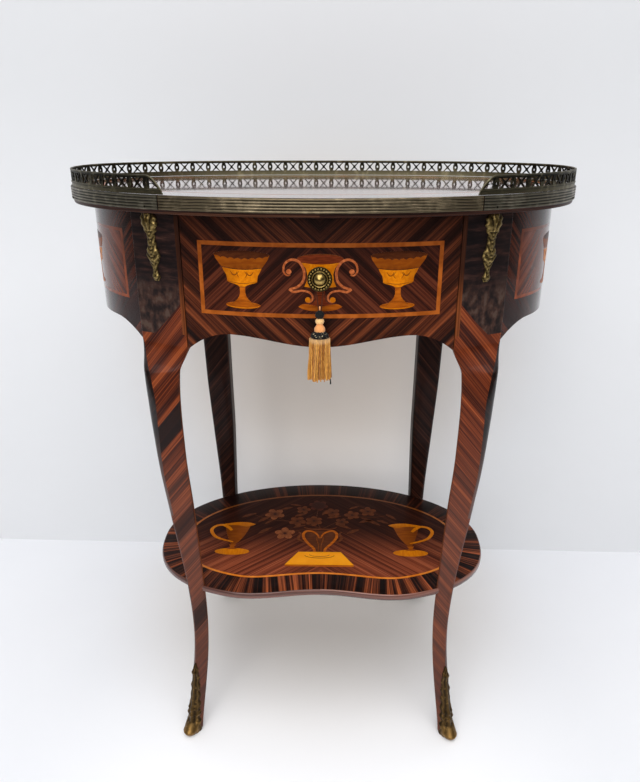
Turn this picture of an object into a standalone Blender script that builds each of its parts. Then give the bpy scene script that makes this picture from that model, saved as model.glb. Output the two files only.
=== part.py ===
"""Centre table in the Louis XV manner: oval top with a brass gallery, one drawer, four cabriole
legs, a kidney-shaped undershelf and gilt mounts. Metres, +Z up, front towards -Y."""

import math
from bisect import bisect_left

import bmesh
import bpy
from mathutils import Matrix, Vector

for item in list(bpy.data.objects):
    bpy.data.objects.remove(item, do_unlink=True)

# Gap between pieces that touch, and the running gap of the drawer
CLEAR = 0.0003
RUNNING = 0.0012

# Top: two half ovals that share one widest line
TOP_WIDTH = 0.606
TOP_FRONT_BOW = 0.190
TOP_BACK_BOW = 0.135
TOP_FRONT_POWER = 2.0
TOP_BACK_POWER = 2.4
TABLE_HEIGHT = 0.721
BOARD_THICKNESS = 0.019
RIM_FACETS = 36

# Ridged brass band on the upper part of the board's edge
BAND_HEIGHT = 0.0148
BAND_THICKNESS = 0.0018
BAND_RIDGE = 0.0009
BAND_RIDGES = 5
BAND_SEAM_X = 0.165

# Pierced gallery: plain foot, openwork of crossed bars, top rail
GALLERY_FOOT = 0.0055
GALLERY_OPENWORK = 0.0108
GALLERY_RAIL = 0.0026
GALLERY_THICKNESS = 0.0016
GALLERY_BAR = 0.0020
GALLERY_PITCH = 0.0216
GALLERY_END_X = 0.160
GALLERY_RAMP = 0.014

# Carcase
APRON_INSET = 0.022
APRON_THICKNESS = 0.015
APRON_SIDE_DROP = 0.1275
APRON_LEG_DROP = 0.1500
APRON_DIP_REACH = 0.055
APRON_BACK_DROP = 0.126
APRON_BACK_LEG_DROP = 0.136
APRON_FACETS = 18
TENON_LENGTH = 0.010
TENON_THICKNESS = 0.006
TENON_SHOULDER = 0.014
RAIL_HEIGHT = 0.014
RAIL_DEPTH = 0.024

# Legs: the stile is the upper block, the rest is the cabriole
FRONT_STILE_X = 0.1505
BACK_STILE_X = 0.140
FRONT_STILE_WIDTH = 0.069
BACK_STILE_WIDTH = 0.056
STILE_DEPTH = 0.040
STILE_PROUD = 0.0010
STILE_DROP = 0.150
STILE_EDGE = 0.0015
LEG_EDGE = 0.0045
KNEE_DROP = 0.178
FRONT_LEG_X = 0.1600
FRONT_LEG_Y = 0.1040
FRONT_LEG_TAPER = 0.26
FOOT_TURN = math.radians(24.0)
BACK_LEG_X = 0.1515
BACK_LEG_Y = 0.1130
LEG_FOOT_GAP = 0.003

# Share of the knee's height, then reach outwards in x and in y, then width and depth
FRONT_LEG_STATIONS = (
    (1.000, 0.0213, 0.0000, 0.0435, 0.0360),
    (0.806, 0.0194, 0.0030, 0.0365, 0.0300),
    (0.656, 0.0127, 0.0052, 0.0322, 0.0272),
    (0.472, 0.0038, 0.0107, 0.0240, 0.0215),
    (0.344, 0.0001, 0.0140, 0.0208, 0.0195),
    (0.236, 0.0016, 0.0176, 0.0192, 0.0184),
    (0.139, 0.0065, 0.0230, 0.0188, 0.0182),
    (0.036, 0.0132, 0.0320, 0.0192, 0.0185),
    (0.000, 0.0150, 0.0350, 0.0192, 0.0185),
)
BACK_LEG_STATIONS = (
    (1.000, 0.0078, 0.0050, 0.0380, 0.0340),
    (0.806, 0.0050, 0.0030, 0.0345, 0.0295),
    (0.656, 0.0020, 0.0010, 0.0305, 0.0260),
    (0.472, 0.0000, 0.0000, 0.0228, 0.0220),
    (0.344, 0.0000, 0.0000, 0.0200, 0.0200),
    (0.236, 0.0025, 0.0050, 0.0188, 0.0188),
    (0.139, 0.0070, 0.0135, 0.0195, 0.0195),
    (0.036, 0.0130, 0.0290, 0.0205, 0.0205),
    (0.000, 0.0150, 0.0335, 0.0205, 0.0205),
)
KNEE_STEPS = 5
LEG_STEPS = 2

# Undershelf: an ellipse behind, a squarer oval with a dip in front
SHELF_WIDTH = 0.456
SHELF_BACK_BOW = 0.147
SHELF_FRONT_BOW = 0.140
SHELF_FRONT_POWER = 2.6
SHELF_DIP = 0.0166
SHELF_DIP_REACH = 0.120
SHELF_WIDEST_Y = -0.007
SHELF_HEIGHT = 0.230
SHELF_THICKNESS = 0.009
SHELF_POINTS = 72
DOWEL_RADIUS = 0.002
DOWEL_DEPTH = 0.010

# Drawer
DRAWER_END_GAP = 0.0008
DRAWER_FRONT_END = 0.016
DRAWER_CENTRE_DROP = 0.140
DRAWER_WAIST_DROP = 0.129
DRAWER_EAR_DROP = 0.152
DRAWER_WAIST_X = 0.100
DRAWER_SIDE_THICKNESS = 0.009
DRAWER_SIDE_X = 0.138
DRAWER_SIDE_LAP = 0.007
DRAWER_BACK_THICKNESS = 0.009
DRAWER_BOTTOM_THICKNESS = 0.005
DRAWER_BOTTOM_RISE = 0.006
DRAWER_GROOVE = 0.004
DRAWER_LENGTH = 0.190
RUNNER_WIDTH = 0.016
RUNNER_LIP = 0.006
RUNNER_LIP_HEIGHT = 0.010
KICKER_HEIGHT = 0.016

# Knob
KNOB_DROP = 0.062
KNOB_BASE_RADIUS = 0.0085
KNOB_BASE_THICKNESS = 0.0025
KNOB_NECK_RADIUS = 0.0042
KNOB_NECK_LENGTH = 0.0085
KNOB_HEAD_RADIUS = 0.0130
KNOB_HEAD_THICKNESS = 0.0040
KNOB_DOME_RADIUS = 0.0062
KNOB_DOME_HEIGHT = 0.0045
KNOB_BOLT_RADIUS = 0.0020
KNOB_NUT_RADIUS = 0.0055
KNOB_NUT_THICKNESS = 0.0035

# Tassel: it leans out a little, clear of the drawer front
TASSEL_LEAN = math.radians(6.5)
TASSEL_CORD_DIAMETER = 0.0014
TASSEL_DROP = 0.034
TASSEL_KNOT_HEIGHT = 0.0085
TASSEL_KNOT_RADIUS = 0.0046
TASSEL_HEAD_HEIGHT = 0.0150
TASSEL_HEAD_RADIUS = 0.0056
TASSEL_COLLAR_HEIGHT = 0.0052
TASSEL_COLLAR_RADIUS = 0.0088
TASSEL_SKIRT_HEIGHT = 0.0445
TASSEL_SKIRT_RADIUS = 0.0118
TASSEL_FLUTES = 14

# Gilt mounts
CHUTE_LENGTH = 0.0755
CHUTE_WIDTH = 0.0150
CHUTE_RELIEF = 0.0050
CHUTE_PLACE = 0.54
SABOT_HEIGHT = 0.108
SABOT_CUFF = 0.034
SABOT_WALL = 0.0028
SABOT_TOE = 0.0045

# Fixings under the top
SCREW_RADIUS = 0.0022
SCREW_HEAD_RADIUS = 0.0042
SCREW_HEAD_THICKNESS = 0.0022
SCREW_GRIP = 0.010
SCREW_END = 0.0085
BLOCK_SIZE = 0.018
BLOCK_FACETS = 4

HALF_WIDTH = TOP_WIDTH / 2
WIDEST_Y = (TOP_FRONT_BOW - TOP_BACK_BOW) / 2
BOARD_UNDERSIDE = TABLE_HEIGHT - BOARD_THICKNESS
CARCASE_TOP = BOARD_UNDERSIDE - CLEAR
KNEE_HEIGHT = BOARD_UNDERSIDE - KNEE_DROP
STILE_BOTTOM = BOARD_UNDERSIDE - STILE_DROP
GALLERY_HEIGHT = GALLERY_FOOT + GALLERY_OPENWORK + GALLERY_RAIL

# Colour, roughness and metallic value of each finish
ROSEWOOD = ((0.115, 0.032, 0.018), 0.22, 0.0)
PLAIN_WOOD = ((0.30, 0.17, 0.08), 0.60, 0.0)
OLD_BRASS = ((0.20, 0.15, 0.07), 0.38, 1.0)
GILT = ((0.42, 0.28, 0.10), 0.35, 1.0)
STEEL = ((0.35, 0.34, 0.33), 0.40, 1.0)
GOLD_SILK = ((0.60, 0.33, 0.09), 0.80, 0.0)
PEACH_SILK = ((0.72, 0.38, 0.17), 0.75, 0.0)
DARK_SILK = ((0.015, 0.014, 0.013), 0.80, 0.0)


def make_material(name, finish):
    colour, roughness, metallic = finish
    material = bpy.data.materials.new(name + "_finish")
    material.use_nodes = True
    shader = material.node_tree.nodes["Principled BSDF"]
    shader.inputs["Base Color"].default_value = (*colour, 1.0)
    shader.inputs["Roughness"].default_value = roughness
    shader.inputs["Metallic"].default_value = metallic
    return material


def make_pivot(name, place):
    pivot = bpy.data.objects.new(name, None)
    pivot.location = place
    bpy.context.collection.objects.link(pivot)
    return pivot


FRAME = make_pivot("table_frame", (0.0, 0.0, 0.0))


def add_object(name, shape, finish, parent, smooth_angle=None):
    """Turns a bmesh in world coordinates into a named object that sits on its parent's origin."""
    bmesh.ops.recalc_face_normals(shape, faces=shape.faces)
    offset = parent.location if parent else Vector((0.0, 0.0, 0.0))
    bmesh.ops.translate(shape, verts=shape.verts, vec=-offset)
    mesh = bpy.data.meshes.new(name)
    shape.to_mesh(mesh)
    shape.free()
    piece = bpy.data.objects.new(name, mesh)
    bpy.context.collection.objects.link(piece)
    piece.parent = parent
    if finish:
        mesh.materials.append(make_material(name, finish))
    if smooth_angle:
        mesh.shade_smooth()
        mesh.set_sharp_from_angle(angle=smooth_angle)
    return piece


SOFT_EDGE = math.radians(40)


def loft(name, rings, finish, parent=None, smooth=True):
    """A closed solid through rings that all have the same number of points."""
    shape = bmesh.new()
    loops = [[shape.verts.new(point) for point in ring] for ring in rings]
    for lower, upper in zip(loops, loops[1:]):
        for index in range(len(lower)):
            after = (index + 1) % len(lower)
            shape.faces.new((lower[index], lower[after], upper[after], upper[index]))
    shape.faces.new(loops[0])
    shape.faces.new(loops[-1])
    return add_object(name, shape, finish, parent or FRAME, SOFT_EDGE if smooth else None)


def box(name, low, high, finish, parent=None):
    corners = ((low[0], low[1]), (high[0], low[1]), (high[0], high[1]), (low[0], high[1]))
    rings = [[(x, y, z) for x, y in corners] for z in (low[2], high[2])]
    return loft(name, rings, finish, parent, smooth=False)


def turned(name, origin, direction, profile, sides, finish, parent=None):
    """A turned solid: profile holds (distance along direction, radius) from end to end."""
    along = Vector(direction).normalized()
    across = along.orthogonal().normalized()
    beside = along.cross(across)
    rings = []
    for distance, radius in profile:
        centre = Vector(origin) + along * distance
        ring = []
        for index in range(sides):
            turn = 2 * math.pi * index / sides
            ring.append(centre + radius * (across * math.cos(turn) + beside * math.sin(turn)))
        rings.append(ring)
    return loft(name, rings, finish, parent)


def cut(target, cutter):
    """Subtracts a hidden guide solid from a piece."""
    cutter.hide_render = True
    cutter.display_type = "WIRE"
    modifier = target.modifiers.new("cut_" + cutter.name, "BOOLEAN")
    modifier.operation = "DIFFERENCE"
    modifier.solver = "EXACT"
    modifier.object = cutter


# The rim: the top's outline on the right half, from the front centre to the back centre

def rim_shape(point_y):
    if point_y < WIDEST_Y:
        return TOP_FRONT_BOW, TOP_FRONT_POWER
    return TOP_BACK_BOW, TOP_BACK_POWER


def rim_half(steps=720):
    points = []
    for index in range(steps + 1):
        turn = -math.pi / 2 + math.pi * index / steps
        sine = math.sin(turn)
        bow, power = rim_shape(WIDEST_Y + sine)
        x = HALF_WIDTH * max(math.cos(turn), 0.0) ** (2 / power)
        y = WIDEST_Y + math.copysign(bow * abs(sine) ** (2 / power), sine)
        points.append(Vector((x, y)))
    return points


def rim_normal(point):
    bow, power = rim_shape(point.y)
    across = (point.x / HALF_WIDTH) ** (power - 1) / HALF_WIDTH
    reach = (abs(point.y - WIDEST_Y) / bow) ** (power - 1) / bow
    return Vector((across, math.copysign(reach, point.y - WIDEST_Y))).normalized()


RIM = rim_half()
RIM_LENGTHS = [0.0]
for earlier, later in zip(RIM, RIM[1:]):
    RIM_LENGTHS.append(RIM_LENGTHS[-1] + (later - earlier).length)
RIM_HALF = RIM_LENGTHS[-1]


def rim_point(distance, inset):
    """A point at a distance along the rim from the front centre, to the right if positive."""
    side = 1.0 if distance >= 0 else -1.0
    reach = abs(distance)
    if reach > RIM_HALF:
        reach = 2 * RIM_HALF - reach
        side = -side
    index = min(max(bisect_left(RIM_LENGTHS, reach), 1), len(RIM) - 1)
    span = RIM_LENGTHS[index] - RIM_LENGTHS[index - 1]
    share = (reach - RIM_LENGTHS[index - 1]) / span
    point = RIM[index - 1].lerp(RIM[index], share)
    point = point - rim_normal(point) * inset
    return Vector((side * point.x, point.y))


def rim_distance(x, inset, behind=False):
    """Where the inset rim on the right half reaches x, in front of the widest line or behind it."""
    widest = max(range(len(RIM)), key=lambda index: RIM[index].x)
    indices = range(widest, len(RIM)) if behind else range(widest, -1, -1)
    passed = RIM_LENGTHS[widest]
    for index in indices:
        distance = RIM_LENGTHS[index]
        reach = rim_point(distance, inset).x
        if reach <= x:
            before = rim_point(passed, inset).x
            share = (before - x) / (before - reach) if before > x else 1.0
            return passed + (distance - passed) * share
        passed = distance
    return passed


def spread(start, end, count):
    return [start + (end - start) * index / count for index in range(count + 1)]


def sweep(name, distances, section, finish, parent=None, smooth=True):
    """Runs a section of (inset, height) points along the rim; section may change with distance."""
    rings = []
    for distance in distances:
        ring = []
        for inset, height in section(distance):
            point = rim_point(distance, inset)
            ring.append((point.x, point.y, height))
        rings.append(ring)
    return loft(name, rings, finish, parent, smooth)


# Top board, band and gallery

def rim_stations(start, end):
    """The board's own facet corners between two distances, so that what runs along it fits it."""
    step = RIM_HALF / RIM_FACETS
    first = math.floor(start / step) + 1
    last = math.ceil(end / step)
    return [start] + [index * step for index in range(first, last)] + [end]


def make_top_board():
    outline = []
    for distance in rim_stations(-RIM_HALF, RIM_HALF)[:-1]:
        outline.append(rim_point(distance, 0.0))
    rings = [[(p.x, p.y, z) for p in outline] for z in (BOARD_UNDERSIDE, TABLE_HEIGHT)]
    return loft("top_board", rings, ROSEWOOD)


def band_section(distance):
    top = TABLE_HEIGHT
    pitch = BAND_HEIGHT / BAND_RIDGES
    points = [(-CLEAR, top), (-CLEAR, top - BAND_HEIGHT)]
    for ridge in range(BAND_RIDGES):
        foot = top - BAND_HEIGHT + ridge * pitch
        points.append((-CLEAR - BAND_THICKNESS + BAND_RIDGE, foot))
        points.append((-CLEAR - BAND_THICKNESS, foot + pitch / 2))
    points.append((-CLEAR - BAND_THICKNESS + BAND_RIDGE, top))
    return points


def make_bands():
    seam = rim_distance(BAND_SEAM_X, 0.0)
    front = rim_stations(-seam + CLEAR, seam - CLEAR)
    behind = rim_stations(seam + CLEAR, 2 * RIM_HALF - seam - CLEAR)
    sweep("edge_band_front", front, band_section, OLD_BRASS, smooth=False)
    sweep("edge_band_back", behind, band_section, OLD_BRASS, smooth=False)


def make_gallery():
    """One pierced strip: each cell has crossed bars, leaving triangles above and below and
    diamonds between cells. The strip's two ends drop in a ramp to the foot."""
    start = rim_distance(GALLERY_END_X, 0.0)
    length = 2 * (RIM_HALF - start)
    count = max(3, round((length - 2 * GALLERY_RAMP) / GALLERY_PITCH))
    pitch = (length - 2 * GALLERY_RAMP) / count
    base = TABLE_HEIGHT + CLEAR
    low = GALLERY_FOOT
    high = GALLERY_FOOT + GALLERY_OPENWORK
    bar = GALLERY_BAR / 2
    slope = GALLERY_OPENWORK / pitch
    rise = bar * math.sqrt(1 + slope * slope)
    run = rise / slope
    shape = bmesh.new()
    sheets = (0.0, GALLERY_THICKNESS)
    corners = {}

    def corner(along, up, sheet):
        key = (round(along, 6), round(up, 6), sheet)
        if key not in corners:
            point = rim_point(start + along, sheets[sheet])
            corners[key] = shape.verts.new((point.x, point.y, base + up))
        return corners[key]

    def plate(points):
        for sheet in (0, 1):
            ring = [corner(along, up, sheet) for along, up in points]
            shape.faces.new(ring if sheet else ring[::-1])

    def wall(points):
        for (a0, u0), (a1, u1) in zip(points, points[1:]):
            quad = (corner(a0, u0, 0), corner(a1, u1, 0), corner(a1, u1, 1), corner(a0, u0, 1))
            shape.faces.new(quad)

    first = GALLERY_RAMP
    last = length - GALLERY_RAMP
    middle = (low + high) / 2
    plate([(0.0, 0.0), (first, 0.0), (first, low), (0.0, low)])
    plate([(0.0, low), (first, low), (first, low + rise), (first, high - rise),
           (first, high), (first, GALLERY_HEIGHT)])
    plate([(last, 0.0), (length, 0.0), (length, low), (last, low)])
    plate([(last, low), (length, low), (last, GALLERY_HEIGHT),
           (last, high), (last, high - rise), (last, low + rise)])
    outline_start = [(first, GALLERY_HEIGHT), (0.0, low), (0.0, 0.0), (first, 0.0)]
    outline_end = [(last, 0.0), (length, 0.0), (length, low), (last, GALLERY_HEIGHT)]
    wall(outline_start)
    wall(outline_end)
    for cell in range(count):
        left = first + cell * pitch
        right = first + (cell + 1) * pitch
        centre = (left + right) / 2
        foot_left = (left + run, low)
        foot_right = (right - run, low)
        head_left = (left + run, high)
        head_right = (right - run, high)
        under = (centre, middle - rise)
        over = (centre, middle + rise)
        near_left = (centre - run, middle)
        near_right = (centre + run, middle)
        low_left = (left, low + rise)
        low_right = (right, low + rise)
        high_left = (left, high - rise)
        high_right = (right, high - rise)
        plate([(left, 0.0), (right, 0.0), (right, low), foot_right, foot_left, (left, low)])
        plate([(left, high), head_left, head_right, (right, high),
               (right, GALLERY_HEIGHT), (left, GALLERY_HEIGHT)])
        plate([(left, low), foot_left, under, near_left, low_left])
        plate([(right, low), low_right, near_right, under, foot_right])
        plate([(left, high), high_left, near_left, over, head_left])
        plate([(right, high), head_right, over, near_right, high_right])
        plate([under, near_right, over, near_left])
        wall([foot_left, foot_right, under, foot_left])
        wall([head_right, head_left, over, head_right])
        wall([low_left, near_left, high_left])
        wall([high_right, near_right, low_right])
        wall([(left, 0.0), (right, 0.0)])
        wall([(right, GALLERY_HEIGHT), (left, GALLERY_HEIGHT)])
    wall([(first, low + rise), (first, high - rise)])
    wall([(last, high - rise), (last, low + rise)])
    return add_object("gallery", shape, OLD_BRASS, FRAME)


# Legs

def stile_corners(front):
    """Inner outside, outer outside, outer inside and inner inside corners of the right stile."""
    face = APRON_INSET - STILE_PROUD
    if front:
        start = rim_distance(FRONT_STILE_X, face)
        end = start + FRONT_STILE_WIDTH
        inwards = STILE_DEPTH
    else:
        start = rim_distance(BACK_STILE_X, face, behind=True)
        end = start - BACK_STILE_WIDTH
        inwards = -STILE_DEPTH
    inner = rim_point(start, face)
    outer = rim_point(end, face)
    outer_inside = rim_point(end, face + STILE_DEPTH * 0.75)
    return [inner, outer, outer_inside, Vector((inner.x, inner.y + inwards))], end


def leg_stations(front):
    corners, _ = stile_corners(front)
    stations = [
        (CARCASE_TOP, corners, STILE_EDGE),
        (STILE_BOTTOM, corners, STILE_EDGE),
    ]
    foot_x, foot_y = (FRONT_LEG_X, FRONT_LEG_Y) if front else (BACK_LEG_X, BACK_LEG_Y)
    facing = -1.0 if front else 1.0
    rows = FRONT_LEG_STATIONS if front else BACK_LEG_STATIONS
    for share, out_x, out_y, width, depth in rows:
        centre = Vector((foot_x + out_x, facing * (foot_y + out_y)))
        half = Vector((width / 2, depth / 2))
        lean = FRONT_LEG_TAPER * depth if front else 0.0
        turn = Matrix.Rotation(facing * FOOT_TURN * (1.0 - share) ** 2, 2)
        square = [centre + turn @ corner for corner in (
            Vector((-half.x, facing * half.y)),
            Vector((half.x, facing * half.y)),
            Vector((half.x, -facing * half.y)),
            Vector((lean - half.x, -facing * half.y)),
        )]
        height = LEG_FOOT_GAP + (KNEE_HEIGHT - LEG_FOOT_GAP) * share
        stations.append((height, square, LEG_EDGE))
    return stations


def hermite(start, end, slope_start, slope_end, share):
    cube = share ** 3
    square = share ** 2
    return (
        start * (2 * cube - 3 * square + 1)
        + slope_start * (cube - 2 * square + share)
        + end * (3 * square - 2 * cube)
        + slope_end * (cube - square)
    )


def smooth_stations(stations):
    """Extra stations between the given ones, on a smooth line through every corner."""
    slopes = []
    for index in range(len(stations)):
        if index in (0, 1):
            slopes.append([Vector((0.0, 0.0))] * 4)
            continue
        before = stations[index - 1]
        after = stations[min(index + 1, len(stations) - 1)]
        rise = after[0] - before[0]
        slopes.append([(b - a) / rise for a, b in zip(before[1], after[1])])
    result = [stations[0]]
    for index in range(1, len(stations) - 1):
        low = stations[index]
        high = stations[index + 1]
        rise = high[0] - low[0]
        steps = KNEE_STEPS if index == 1 else LEG_STEPS
        for step in range(steps):
            share = step / steps
            corners = []
            for place in range(4):
                corners.append(hermite(
                    low[1][place], high[1][place],
                    slopes[index][place] * rise, slopes[index + 1][place] * rise, share,
                ))
            edge = low[2] + (high[2] - low[2]) * share
            result.append((low[0] + rise * share, corners, edge))
    result.append(stations[-1])
    return result


def rounded_ring(corners, edge, height, side, grow=0.0):
    """Twelve points round a four-cornered section, mirrored to the left if side is negative."""
    wide = []
    for index, corner in enumerate(corners):
        before = (corner - corners[index - 1]).normalized()
        after = (corner - corners[(index + 1) % 4]).normalized()
        wide.append(corner + (before + after) * grow)
    ring = []
    for index, corner in enumerate(wide):
        before = (wide[index - 1] - corner).normalized()
        after = (wide[(index + 1) % 4] - corner).normalized()
        ring.append(corner + before * edge)
        ring.append(corner + (before + after) * edge * (1 - math.sqrt(0.5)))
        ring.append(corner + after * edge)
    return [(side * point.x, point.y, height) for point in ring]


def leg_rings(front, side, grow=0.0):
    stations = smooth_stations(leg_stations(front))
    rings = [rounded_ring(c, edge, height, side, grow) for height, c, edge in stations]
    if grow:
        rings[0] = [(x, y, z + grow) for x, y, z in rings[0]]
        rings[-1] = [(x, y, z - grow) for x, y, z in rings[-1]]
    return rings


def leg_square(front, height):
    """The leg's four corners at a height on the right half."""
    stations = smooth_stations(leg_stations(front))
    for upper, lower in zip(stations, stations[1:]):
        if lower[0] <= height <= upper[0]:
            share = (upper[0] - height) / (upper[0] - lower[0])
            return [a.lerp(b, share) for a, b in zip(upper[1], lower[1])]
    return stations[-1][1]


CORNERS = (
    ("front_left", True, -1.0),
    ("front_right", True, 1.0),
    ("back_left", False, -1.0),
    ("back_right", False, 1.0),
)


def make_legs():
    legs = {}
    for place, front, side in CORNERS:
        legs[place] = loft("leg_" + place, leg_rings(front, side), ROSEWOOD)
    return legs


# Aprons and rails, with tenons let into the stiles

def apron_bottom(distance):
    """Lower edge of the side apron: level along the side, curving down to the legs."""
    _, front_end = stile_corners(True)
    _, back_end = stile_corners(False)
    past = max(min(abs(distance) - front_end, back_end - abs(distance)), 0.0)
    dip = max(1.0 - past / APRON_DIP_REACH, 0.0) ** 2
    return BOARD_UNDERSIDE - APRON_SIDE_DROP - (APRON_LEG_DROP - APRON_SIDE_DROP) * dip


def slab_section(inset, thickness, bottom, top):
    return [(inset, bottom), (inset, top), (inset + thickness, top), (inset + thickness, bottom)]


def tenon_section(grow):
    inset = APRON_INSET + (APRON_THICKNESS - TENON_THICKNESS) / 2 - grow
    bottom = BOARD_UNDERSIDE - APRON_SIDE_DROP + TENON_SHOULDER - grow
    top = CARCASE_TOP - TENON_SHOULDER + grow
    return slab_section(inset, TENON_THICKNESS + 2 * grow, bottom, top)


def apron_stations(start, end):
    forward = 1.0 if end > start else -1.0
    return spread(start + forward * CLEAR, end - forward * CLEAR, APRON_FACETS)


def make_tenoned(name, start, end, section, legs):
    """A curved apron between two stiles, with a tenon at each end and its mortises in the legs."""
    forward = 1.0 if end > start else -1.0
    distances = apron_stations(start, end)
    first = distances[0] - forward * TENON_LENGTH
    last = distances[-1] + forward * TENON_LENGTH
    stations = [(first, True), (distances[0], True)]
    stations += [(distance, False) for distance in distances]
    stations += [(distances[-1], True), (last, True)]
    rings = []
    for distance, is_tenon in stations:
        ring = []
        for inset, height in (tenon_section(0.0) if is_tenon else section(distance)):
            point = rim_point(distance, inset)
            ring.append((point.x, point.y, height))
        rings.append(ring)
    apron = loft(name, rings, ROSEWOOD)
    mouth = TENON_LENGTH / 2
    for leg, inside, outside in (
        (legs[0], first - forward * CLEAR, distances[0] + forward * mouth),
        (legs[1], last + forward * CLEAR, distances[-1] - forward * mouth),
    ):
        guide = sweep(name + "_mortise_in_" + leg.name, spread(inside, outside, 4),
                      lambda distance: tenon_section(CLEAR), None, smooth=False)
        cut(leg, guide)
    return apron


def side_section(distance):
    return slab_section(APRON_INSET, APRON_THICKNESS, apron_bottom(distance), CARCASE_TOP)


def back_section(distance):
    stile = rim_distance(BACK_STILE_X, APRON_INSET, behind=True)
    reach = (abs(distance) if abs(distance) <= RIM_HALF else 2 * RIM_HALF - abs(distance)) - stile
    swell = math.sin(math.pi / 2 * min(max(reach / (RIM_HALF - stile), 0.0), 1.0))
    drop = APRON_BACK_LEG_DROP + (APRON_BACK_DROP - APRON_BACK_LEG_DROP) * swell
    return slab_section(APRON_INSET, APRON_THICKNESS, BOARD_UNDERSIDE - drop, CARCASE_TOP)


def make_aprons(legs):
    _, front_end = stile_corners(True)
    _, back_end = stile_corners(False)
    for name, side in (("left", -1.0), ("right", 1.0)):
        pair = (legs["front_" + name], legs["back_" + name])
        make_tenoned("apron_" + name, side * front_end, side * back_end, side_section, pair)
    stile = rim_distance(BACK_STILE_X, APRON_INSET - STILE_PROUD, behind=True)
    pair = (legs["back_right"], legs["back_left"])
    make_tenoned("apron_back", stile, 2 * RIM_HALF - stile, back_section, pair)


DRAWER_END = rim_point(rim_distance(FRONT_STILE_X, APRON_INSET), APRON_INSET)
DRAWER_FRONT_BACK_Y = DRAWER_END.y + DRAWER_FRONT_END
RAIL_FRONT_Y = DRAWER_FRONT_BACK_Y + CLEAR
RUNNER_TOP = BOARD_UNDERSIDE - DRAWER_WAIST_DROP + RAIL_HEIGHT + RUNNING
DRAWER_FLOOR = RUNNER_TOP + CLEAR
DRAWER_SIDE_TOP = CARCASE_TOP - KICKER_HEIGHT - RUNNING


def make_rail(name, bottom, legs):
    """A straight rail between the front stiles, with a tenon at each end."""
    top = bottom + RAIL_HEIGHT
    low_y = RAIL_FRONT_Y
    high_y = RAIL_FRONT_Y + RAIL_DEPTH
    shoulder = FRONT_STILE_X - CLEAR
    cheek = RAIL_DEPTH / 3
    haunch = RAIL_HEIGHT / 4
    tenon = [
        (low_y + cheek, bottom + haunch), (high_y - cheek, bottom + haunch),
        (high_y - cheek, top - haunch), (low_y + cheek, top - haunch),
    ]
    full = [(low_y, bottom), (high_y, bottom), (high_y, top), (low_y, top)]
    reach = shoulder + TENON_LENGTH
    stations = ((-reach, tenon), (-shoulder, tenon), (-shoulder, full),
                (shoulder, full), (shoulder, tenon), (reach, tenon))
    rings = [[(x, y, z) for y, z in section] for x, section in stations]
    rail = loft(name, rings, PLAIN_WOOD, smooth=False)
    for leg, side in ((legs["front_left"], -1.0), (legs["front_right"], 1.0)):
        inside = side * (reach + CLEAR)
        outside = side * (shoulder - TENON_LENGTH / 2)
        low = (min(inside, outside), tenon[0][0] - CLEAR, tenon[0][1] - CLEAR)
        high = (max(inside, outside), tenon[2][0] + CLEAR, tenon[2][1] + CLEAR)
        cut(leg, box(name + "_mortise_in_" + leg.name, low, high, None))
    return rail


def make_rails(legs):
    make_rail("rail_front_lower", RUNNER_TOP - RAIL_HEIGHT, legs)
    make_rail("rail_front_upper", CARCASE_TOP - RAIL_HEIGHT, legs)


# Undershelf

def shelf_outline():
    half = SHELF_WIDTH / 2
    points = []
    for index in range(SHELF_POINTS):
        turn = 2 * math.pi * index / SHELF_POINTS
        sine = math.sin(turn)
        cosine = math.cos(turn)
        if sine >= 0:
            points.append((half * cosine, SHELF_WIDEST_Y + SHELF_BACK_BOW * sine))
            continue
        power = 2 / SHELF_FRONT_POWER
        x = math.copysign(half * abs(cosine) ** power, cosine)
        y = SHELF_WIDEST_Y - SHELF_FRONT_BOW * abs(sine) ** power
        if abs(x) < SHELF_DIP_REACH:
            y += SHELF_DIP * math.cos(math.pi / 2 * x / SHELF_DIP_REACH) ** 2
        points.append((x, y))
    return points


def make_shelf(legs):
    outline = shelf_outline()
    bottom = SHELF_HEIGHT - SHELF_THICKNESS
    rings = [[(x, y, z) for x, y in outline] for z in (bottom, SHELF_HEIGHT)]
    shelf = loft("shelf", rings, ROSEWOOD, smooth=True)
    middle = SHELF_HEIGHT - SHELF_THICKNESS / 2
    for place, front, side in CORNERS:
        guide = loft("shelf_notch_" + place, leg_rings(front, side, CLEAR), None)
        cut(shelf, guide)
        square = leg_square(front, middle)
        inside = (square[2] + square[3]) / 2
        facing = 1.0 if front else -1.0
        start = (side * inside.x, inside.y - facing * DOWEL_DEPTH, middle)
        reach = 2 * DOWEL_DEPTH
        name = "shelf_dowel_" + place
        turned(name, start, (0.0, facing, 0.0),
               [(0.0, DOWEL_RADIUS), (reach, DOWEL_RADIUS)], 12, PLAIN_WOOD)
        hole = turned(name + "_hole", start, (0.0, facing, 0.0),
                      [(-CLEAR, DOWEL_RADIUS + CLEAR), (reach + CLEAR, DOWEL_RADIUS + CLEAR)], 12, None)
        cut(shelf, hole)
        cut(legs[place], hole)


# Drawer

def drawer_bottom_edge(x):
    """Lower edge of the drawer front: a shallow swell at the centre and a small ear at each end."""
    reach = min(abs(x) / DRAWER_WAIST_X, 1.0)
    swell = math.cos(math.pi / 2 * reach) ** 2
    drop = DRAWER_WAIST_DROP + (DRAWER_CENTRE_DROP - DRAWER_WAIST_DROP) * swell
    past = abs(x) - DRAWER_WAIST_X
    if past > 0:
        share = past / (FRONT_STILE_X - DRAWER_WAIST_X)
        drop += (DRAWER_EAR_DROP - DRAWER_WAIST_DROP) * share ** 2
    return BOARD_UNDERSIDE - drop


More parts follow.
